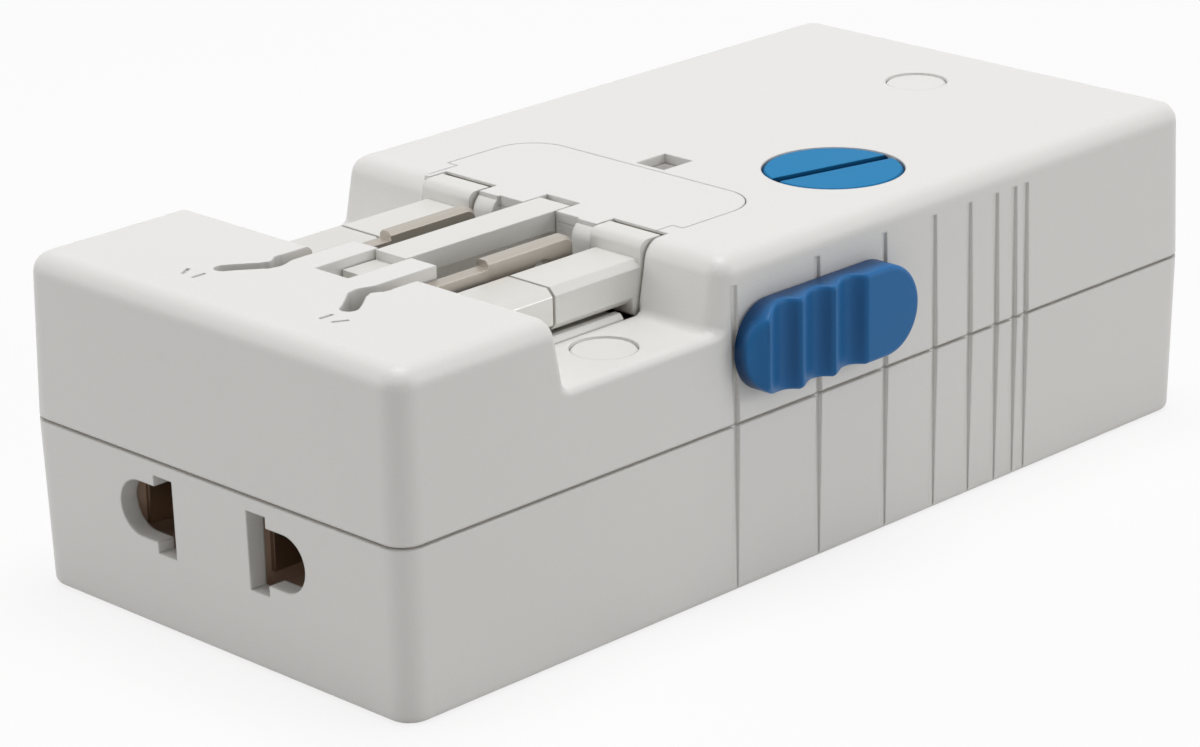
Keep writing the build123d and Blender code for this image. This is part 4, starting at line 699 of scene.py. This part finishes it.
@dataclass
class CaseScrews:
    """The three case screws: one threaded screw, set on three points."""

    places: tuple[Point, ...] = (
        (-23.6 * MM, -19.6 * MM, 19.6 * MM),
        (-23.6 * MM, 19.6 * MM, 19.6 * MM),
        (41.2 * MM, 0.0, 19.6 * MM),
    )
    head_r: float = 2.2 * MM
    head_tall: float = 1.6 * MM
    shank_r: float = 1.0 * MM
    thread_r: float = 1.25 * MM
    long: float = 11.0 * MM
    pitch: float = 1.0 * MM
    point_tall: float = 1.6 * MM
    tip_r: float = 0.4 * MM
    tip_tall: float = 0.3 * MM
    head_curve: tuple[tuple[float, float], ...] = ((1.0, 0.45), (0.93, 0.8), (0.7, 1.0))
    recess_r: float = 0.72 * MM
    recess_foot_r: float = 0.405 * MM
    recess_deep: float = 0.9 * MM
    recess_end: float = 1.0 * MM
    segments: int = 28
    thread_steps: int = 16
    thread_root: float = 0.97
    thread_foot: float = 0.3

    def _one(self) -> bpy.types.Object:
        """Builds one screw with its seat at the origin and its point down."""
        form = bmesh.new()
        top = self.head_tall
        profile = [(0.0, -self.long), (self.tip_r, self.tip_tall - self.long),
                   (self.shank_r, self.point_tall - self.long), (self.shank_r, 0.0), (self.head_r, 0.0)]
        profile += [(self.head_r * wide, top * high) for wide, high in self.head_curve]
        profile += [(self.recess_r, top), (self.recess_foot_r, top - self.recess_deep),
                    (0.0, top - self.recess_end)]
        turned(form, profile, self.segments)
        self._thread(form)
        return mesh_of(form, "case_screw")

    def _thread(self, form: bmesh.types.BMesh) -> None:
        """Winds a three-sided thread round the shank, which runs in and out over half a turn."""
        turns = int((self.long - self.point_tall - self.pitch) / self.pitch)
        steps = turns * self.thread_steps
        foot = self.pitch * self.thread_foot
        root = self.shank_r * self.thread_root
        half_turn = self.thread_steps / 2
        rows = []
        for i in range(steps + 1):
            angle = 2 * math.pi * i / self.thread_steps
            z = self.point_tall - self.long + self.pitch * i / self.thread_steps
            ease = min(1.0, i / half_turn, (steps - i) / half_turn)
            crest = self.shank_r + (self.thread_r - self.shank_r) * ease
            row = []
            for radius, rise in ((root, -foot), (crest, 0.0), (root, foot)):
                row.append(form.verts.new((radius * math.cos(angle), radius * math.sin(angle), z + rise)))
            rows.append(row)
        for low, high in zip(rows, rows[1:]):
            for k in range(3):
                form.faces.new((low[k], low[(k + 1) % 3], high[(k + 1) % 3], high[k]))
        form.faces.new(rows[0])
        form.faces.new(rows[-1])

    def build(self, material: bpy.types.Material) -> bpy.types.Object:
        """Sets the screw on its three points by a geometry node tree.

        Args:
            material: The screws' finish.

        Returns:
            One mesh with the three screws.
        """
        return set_on_points("case_screw_set", self.places, self._one(), material)


def set_on_points(name: str, places: tuple[Point, ...], one: bpy.types.Object,
                  material: bpy.types.Material) -> bpy.types.Object:
    """Puts one object on each of several points by a geometry node tree.

    Args:
        name: The new piece's name.
        places: The points.
        one: The object that repeats, which is removed.
        material: The finish of all of them.

    Returns:
        The baked piece.
    """
    mesh = bpy.data.meshes.new(f"{name}_points")
    mesh.from_pydata(places, [], [])
    sketch = GeometrySketch(f"{name}_tree", {"Piece": one, "Finish": material})
    source = sketch.add("GeometryNodeObjectInfo", {"Object": sketch.given["Piece"]}).outputs["Geometry"]
    copies = sketch.add("GeometryNodeInstanceOnPoints", {
        "Points": sketch.given["Geometry"], "Instance": source})
    sketch.finish(copies.outputs[0], sketch.given["Finish"])
    piece = sketch.bake(placed(mesh, f"{name}_base"), name)
    bpy.data.objects.remove(one)
    return piece


@dataclass
class PinRests:
    """The two raised floors of the pocket, just above the ledges, that the folded power pins lie over."""

    places: tuple[Point, ...] = (
        (-25.0 * MM, -12.13 * MM, 23.32 * MM),
        (-25.0 * MM, 10.14 * MM, 23.32 * MM),
    )
    long: float = 16.6 * MM
    wide: float = 7.04 * MM
    tall: float = 2.62 * MM
    edge: float = 0.4 * MM
    trough_edge: float = 1.1 * MM
    trough_deep: float = 0.25 * MM

    def _section(self, inset: float) -> list[tuple[float, float]]:
        """Lists the outline across the pins, as places along Y and Z.

        Args:
            inset: How far the top and the sides draw in.

        Returns:
            The corners in order.
        """
        half, top = self.wide / 2 - inset, self.tall - inset
        inner, floor = half - self.trough_edge, top - self.trough_deep
        right = [(half, 0.0), (half, top - self.edge), (half - self.edge, top), (inner, top),
                 (inner - self.trough_deep, floor)]
        return right + [(-y, z) for y, z in reversed(right)]

    def _one(self) -> bpy.types.Object:
        """Builds one rest, centred on its foot."""
        form = bmesh.new()
        half = self.long / 2
        rows = []
        stations = ((-half, self.edge), (self.edge - half, 0.0), (half - self.edge, 0.0), (half, self.edge))
        for x, inset in stations:
            rows.append([form.verts.new((x, y, z)) for y, z in self._section(inset)])
        for low, high in zip(rows, rows[1:]):
            for i in range(len(low)):
                after = (i + 1) % len(low)
                form.faces.new((low[i], low[after], high[after], high[i]))
        form.faces.new(rows[0])
        form.faces.new(rows[-1])
        return mesh_of(form, "pin_rest", smooth=False)

    def build(self, material: bpy.types.Material) -> bpy.types.Object:
        """Sets a rest under each power pin by a geometry node tree.

        Args:
            material: The case's finish.

        Returns:
            One mesh with both rests.
        """
        return set_on_points("pin_rest_pair", self.places, self._one(), material)


@dataclass
class CoilTurns:
    """The transformer's winding: wire turns stacked along the middle limb."""

    middle: Point
    reach_x: float
    reach_y: float
    tall: float
    turns: int = 11
    corner: float = 1.2 * MM
    corner_steps: int = 6
    wire_sides: int = 10

    def build(self, material: bpy.types.Material) -> bpy.types.Object:
        """Stacks rings of wire by a geometry node tree.

        Args:
            material: The wire's finish.

        Returns:
            The finished coil.
        """
        pitch = self.tall / self.turns
        sketch = GeometrySketch("coil_stack", {
            "Turns": self.turns, "Pitch": pitch, "Wire": pitch / 2, "Long": self.reach_x - pitch,
            "Wide": self.reach_y - pitch, "Corner": self.corner, "X": self.middle[0], "Y": self.middle[1],
            "Base": self.middle[2] - self.tall / 2 + pitch / 2, "Finish": material})
        given = sketch.given
        loop = sketch.add("GeometryNodeCurvePrimitiveQuadrilateral", {
            "Width": given["Long"], "Height": given["Wide"]}).outputs[0]
        bent = sketch.add("GeometryNodeFilletCurve", {
            "Curve": loop, "Radius": given["Corner"], "Count": self.corner_steps}, mode="POLY").outputs[0]
        wire = sketch.add("GeometryNodeCurvePrimitiveCircle", {
            "Resolution": self.wire_sides, "Radius": given["Wire"]}).outputs[0]
        turn = sketch.add("GeometryNodeCurveToMesh", {"Curve": bent, "Profile Curve": wire}).outputs[0]
        start = sketch.add("ShaderNodeCombineXYZ", {
            0: given["X"], 1: given["Y"], 2: given["Base"]}).outputs[0]
        rise = sketch.add("ShaderNodeCombineXYZ", {2: given["Pitch"]}).outputs[0]
        line = sketch.add("GeometryNodeMeshLine", {
            "Count": given["Turns"], "Start Location": start, "Offset": rise}).outputs[0]
        stack = sketch.add("GeometryNodeInstanceOnPoints", {"Points": line, "Instance": turn}).outputs[0]
        sketch.finish(stack, given["Finish"])
        base = placed(bpy.data.meshes.new("coil_base"), "coil_base")
        return sketch.bake(base, "coil_turns")


@dataclass
class UsbSprings:
    """The four contact springs of the USB outlet, on the underside of its tongue."""

    low: Vector
    high: Vector
    wide: float = 1.0 * MM
    thick: float = 0.2 * MM
    offsets: tuple[float, ...] = (-3.5 * MM, -1.0 * MM, 1.0 * MM, 3.5 * MM)
    end_steps: int = 6

    def _one(self) -> bpy.types.Object:
        """Builds one spring with its rounded front end."""
        form = bmesh.new()
        long = self.high.x - self.low.x
        half = self.wide / 2
        outline = [(0.0, -half), (long - half, -half)]
        for i in range(1, self.end_steps):
            angle = -math.pi / 2 + math.pi * i / self.end_steps
            outline.append((long - half + half * math.cos(angle), half * math.sin(angle)))
        outline += [(long - half, half), (0.0, half)]
        low = [form.verts.new((x, y, 0.0)) for x, y in outline]
        high = [form.verts.new((x, y, self.thick)) for x, y in outline]
        form.faces.new(low)
        form.faces.new(high)
        count = len(outline)
        for i in range(count):
            form.faces.new((low[i], low[(i + 1) % count], high[(i + 1) % count], high[i]))
        return mesh_of(form, "usb_spring", smooth=False)

    def build(self, material: bpy.types.Material) -> bpy.types.Object:
        """Sets the spring at its four places by a geometry node tree.

        Args:
            material: The springs' finish.

        Returns:
            One mesh with the four springs.
        """
        middle = (self.low.y + self.high.y) / 2
        places = tuple((self.low.x, middle + offset, self.low.z) for offset in self.offsets)
        return set_on_points("usb_contact_springs", places, self._one(), material)


@dataclass
class Adapter:
    """The whole adapter: every carried-over node's finish and every piece made here."""

    frame: dict
    effects: Effects = field(default_factory=Effects)
    materials: dict[str, bpy.types.Material] = field(default_factory=dict)

    def make_finishes(self) -> None:
        """Builds each material once."""
        for finish in FINISHES:
            self.materials[finish.slot] = finish.build(self.effects)
        log.info("made %d finishes", len(self.materials))

    def dress_nodes(self) -> None:
        """Gives every CAD node the finish of its slot."""
        for subpart in self.frame["record"]["subparts"]:
            node = self.frame["nodes"][subpart["node"]]
            node.data.materials.clear()
            node.data.materials.append(self.materials[subpart["material_slot"]])

    def take_place(self, piece: bpy.types.Object, node: str, body: str) -> None:
        """Lets a piece stand for a CAD node and ride on its body.

        Args:
            piece: The piece made here.
            node: The CAD node that it replaces.
            body: The body that it rides on.
        """
        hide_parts(node)
        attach(piece, body)
        log.info("%s stands for %s on %s, %d faces", piece.name, node, body, len(piece.data.polygons))

    def make_pieces(self) -> None:
        """Builds the pieces that replace a node, and the rests that no node has."""
        grip = SliderGrip().build(self.materials["slider_blue"])
        self.take_place(grip, "slider_knob", "slider")
        screws = CaseScrews().build(self.materials["screw_steel"])
        self.take_place(screws, "case_screws", "case")
        low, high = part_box("transformer_winding")
        coil = CoilTurns(tuple((low + high) / 2), high.x - low.x, high.y - low.y, high.z - low.z)
        self.take_place(coil.build(self.materials["coil_tape"]), "transformer_winding", "case")
        rests = PinRests().build(self.materials["case_white"])
        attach(rests, "case")
        log.info("%s lies in the pocket, %d faces", rests.name, len(rests.data.polygons))
        low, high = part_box("usb_contacts")
        springs = UsbSprings(low, high).build(self.materials["contact_brass"])
        self.take_place(springs, "usb_contacts", "case")


@dataclass(frozen=True)
class Viewpoint:
    """The camera that took the picture, as fitted to the case's edges."""

    azimuth: float = -44.13
    elevation: float = 19.98
    roll: float = 1.50
    focal_px: float = 4187.0
    centre_px: tuple[float, float] = (544.0, 386.0)
    offset: Point = (8.9 * MM, 10.0 * MM, 404.9 * MM)

    def place(self) -> None:
        """Makes the camera and gives it to the scene."""
        az, el, roll = (math.radians(v) for v in (self.azimuth, self.elevation, self.roll))
        back = Vector((math.sin(az) * math.cos(el), -math.cos(az) * math.cos(el), math.sin(el)))
        ahead = -back
        level = ahead.cross(Vector((0, 0, 1))).normalized()
        drop = ahead.cross(level)
        right = math.cos(roll) * level + math.sin(roll) * drop
        down = -math.sin(roll) * level + math.cos(roll) * drop
        eye = -(self.offset[0] * right + self.offset[1] * down + self.offset[2] * ahead)
        lens = bpy.data.cameras.new("photo_camera")
        lens.sensor_width = SENSOR_MM
        lens.lens = self.focal_px * SENSOR_MM / PHOTO_WIDE
        lens.shift_x = (PHOTO_WIDE / 2 - self.centre_px[0]) / PHOTO_WIDE
        lens.shift_y = (self.centre_px[1] - PHOTO_TALL / 2) / PHOTO_WIDE
        lens.clip_start = CLIP_NEAR
        lens.clip_end = CLIP_FAR
        camera = bpy.data.objects.new("photo_camera", lens)
        turn = Matrix((right, -down, back)).transposed().to_4x4()
        camera.matrix_world = Matrix.Translation(eye) @ turn
        bpy.context.scene.collection.objects.link(camera)
        bpy.context.scene.camera = camera


@dataclass(frozen=True)
class Lamp:
    """One soft square lamp."""

    name: str
    place: Point
    aim: Point
    size: float
    power: float

    def hang(self) -> None:
        """Makes the lamp and turns it to what it lights."""
        light = bpy.data.lights.new(self.name, "AREA")
        light.shape = "SQUARE"
        light.size = self.size
        light.energy = self.power
        lamp = bpy.data.objects.new(self.name, light)
        way = Vector(self.aim) - Vector(self.place)
        turn = way.to_track_quat("-Z", "Y").to_matrix().to_4x4()
        lamp.matrix_world = Matrix.Translation(self.place) @ turn
        bpy.context.scene.collection.objects.link(lamp)


@dataclass
class Studio:
    """The pale floor, the even room light and the soft lamps."""

    floor_half: float = 3.0
    floor_color: Color = (0.97, 0.97, 0.97)
    floor_bounce: Color = (0.62, 0.62, 0.61)
    floor_glow: float = 0.8
    room: float = 0.3
    lamps: tuple[Lamp, ...] = (
        Lamp("overhead_softbox", (0.05, 0.02, 0.75), (0.0, 0.0, 0.02), 0.4, 3.1),
        Lamp("left_softbox", (-0.8, 0.5, 0.3), (0.0, 0.0, 0.02), 0.5, 1.6),
        Lamp("right_softbox", (0.5, -0.8, 0.3), (0.0, 0.0, 0.02), 0.5, 1.9),
    )

    def _floor(self) -> None:
        """Lays the floor, which looks white to the eye and keeps a soft shadow."""
        half = self.floor_half
        mesh = bpy.data.meshes.new("studio_floor")
        corners = [(-half, -half, 0), (half, -half, 0), (half, half, 0), (-half, half, 0)]
        mesh.from_pydata(corners, [], [(0, 1, 2, 3)])
        floor = placed(mesh, "studio_floor")
        material = bpy.data.materials.new("studio_floor")
        material.use_nodes = True
        material.node_tree.nodes.clear()
        sketch = Sketch(material.node_tree)
        white = sketch.add("ShaderNodeEmission", {"Color": (*WHITE, 1.0), "Strength": 1.0}).outputs[0]
        seen = sketch.seen_directly()
        color = sketch.tinted(seen, (*self.floor_bounce, 1.0), (*self.floor_color, 1.0))
        matte = sketch.add("ShaderNodeBsdfDiffuse", {"Color": color}).outputs[0]
        share = sketch.math("MULTIPLY", seen, self.floor_glow)
        both = sketch.add("ShaderNodeMixShader", {0: share, 1: matte, 2: white}).outputs[0]
        sketch.add("ShaderNodeOutputMaterial", {"Surface": both})
        floor.data.materials.append(material)

    def _world(self) -> None:
        """Sets the even light of the room, which the camera sees as white."""
        world = bpy.data.worlds.new("room")
        world.use_nodes = True
        world.node_tree.nodes.clear()
        sketch = Sketch(world.node_tree)
        strength = sketch.ranged(sketch.seen_directly(), (0.0, 1.0), (self.room, 1.0))
        glow = sketch.add("ShaderNodeBackground", {"Color": (*WHITE, 1.0), "Strength": strength})
        sketch.add("ShaderNodeOutputWorld", {"Surface": glow.outputs[0]})
        bpy.context.scene.world = world

    def set_up(self) -> None:
        """Builds the floor, the room and the lamps."""
        self._floor()
        self._world()
        for lamp in self.lamps:
            lamp.hang()
        bpy.context.scene.view_settings.view_transform = "Standard"


def main() -> None:
    """Builds the adapter and its studio in order."""
    logging.basicConfig(level=logging.INFO, format="%(name)s: %(message)s")
    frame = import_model()
    Viewpoint().place()
    adapter = Adapter(frame)
    adapter.make_finishes()
    adapter.dress_nodes()
    adapter.make_pieces()
    Studio().set_up()
    log.info("the adapter stands on its floor")


if __name__ == "__main__":
    main()
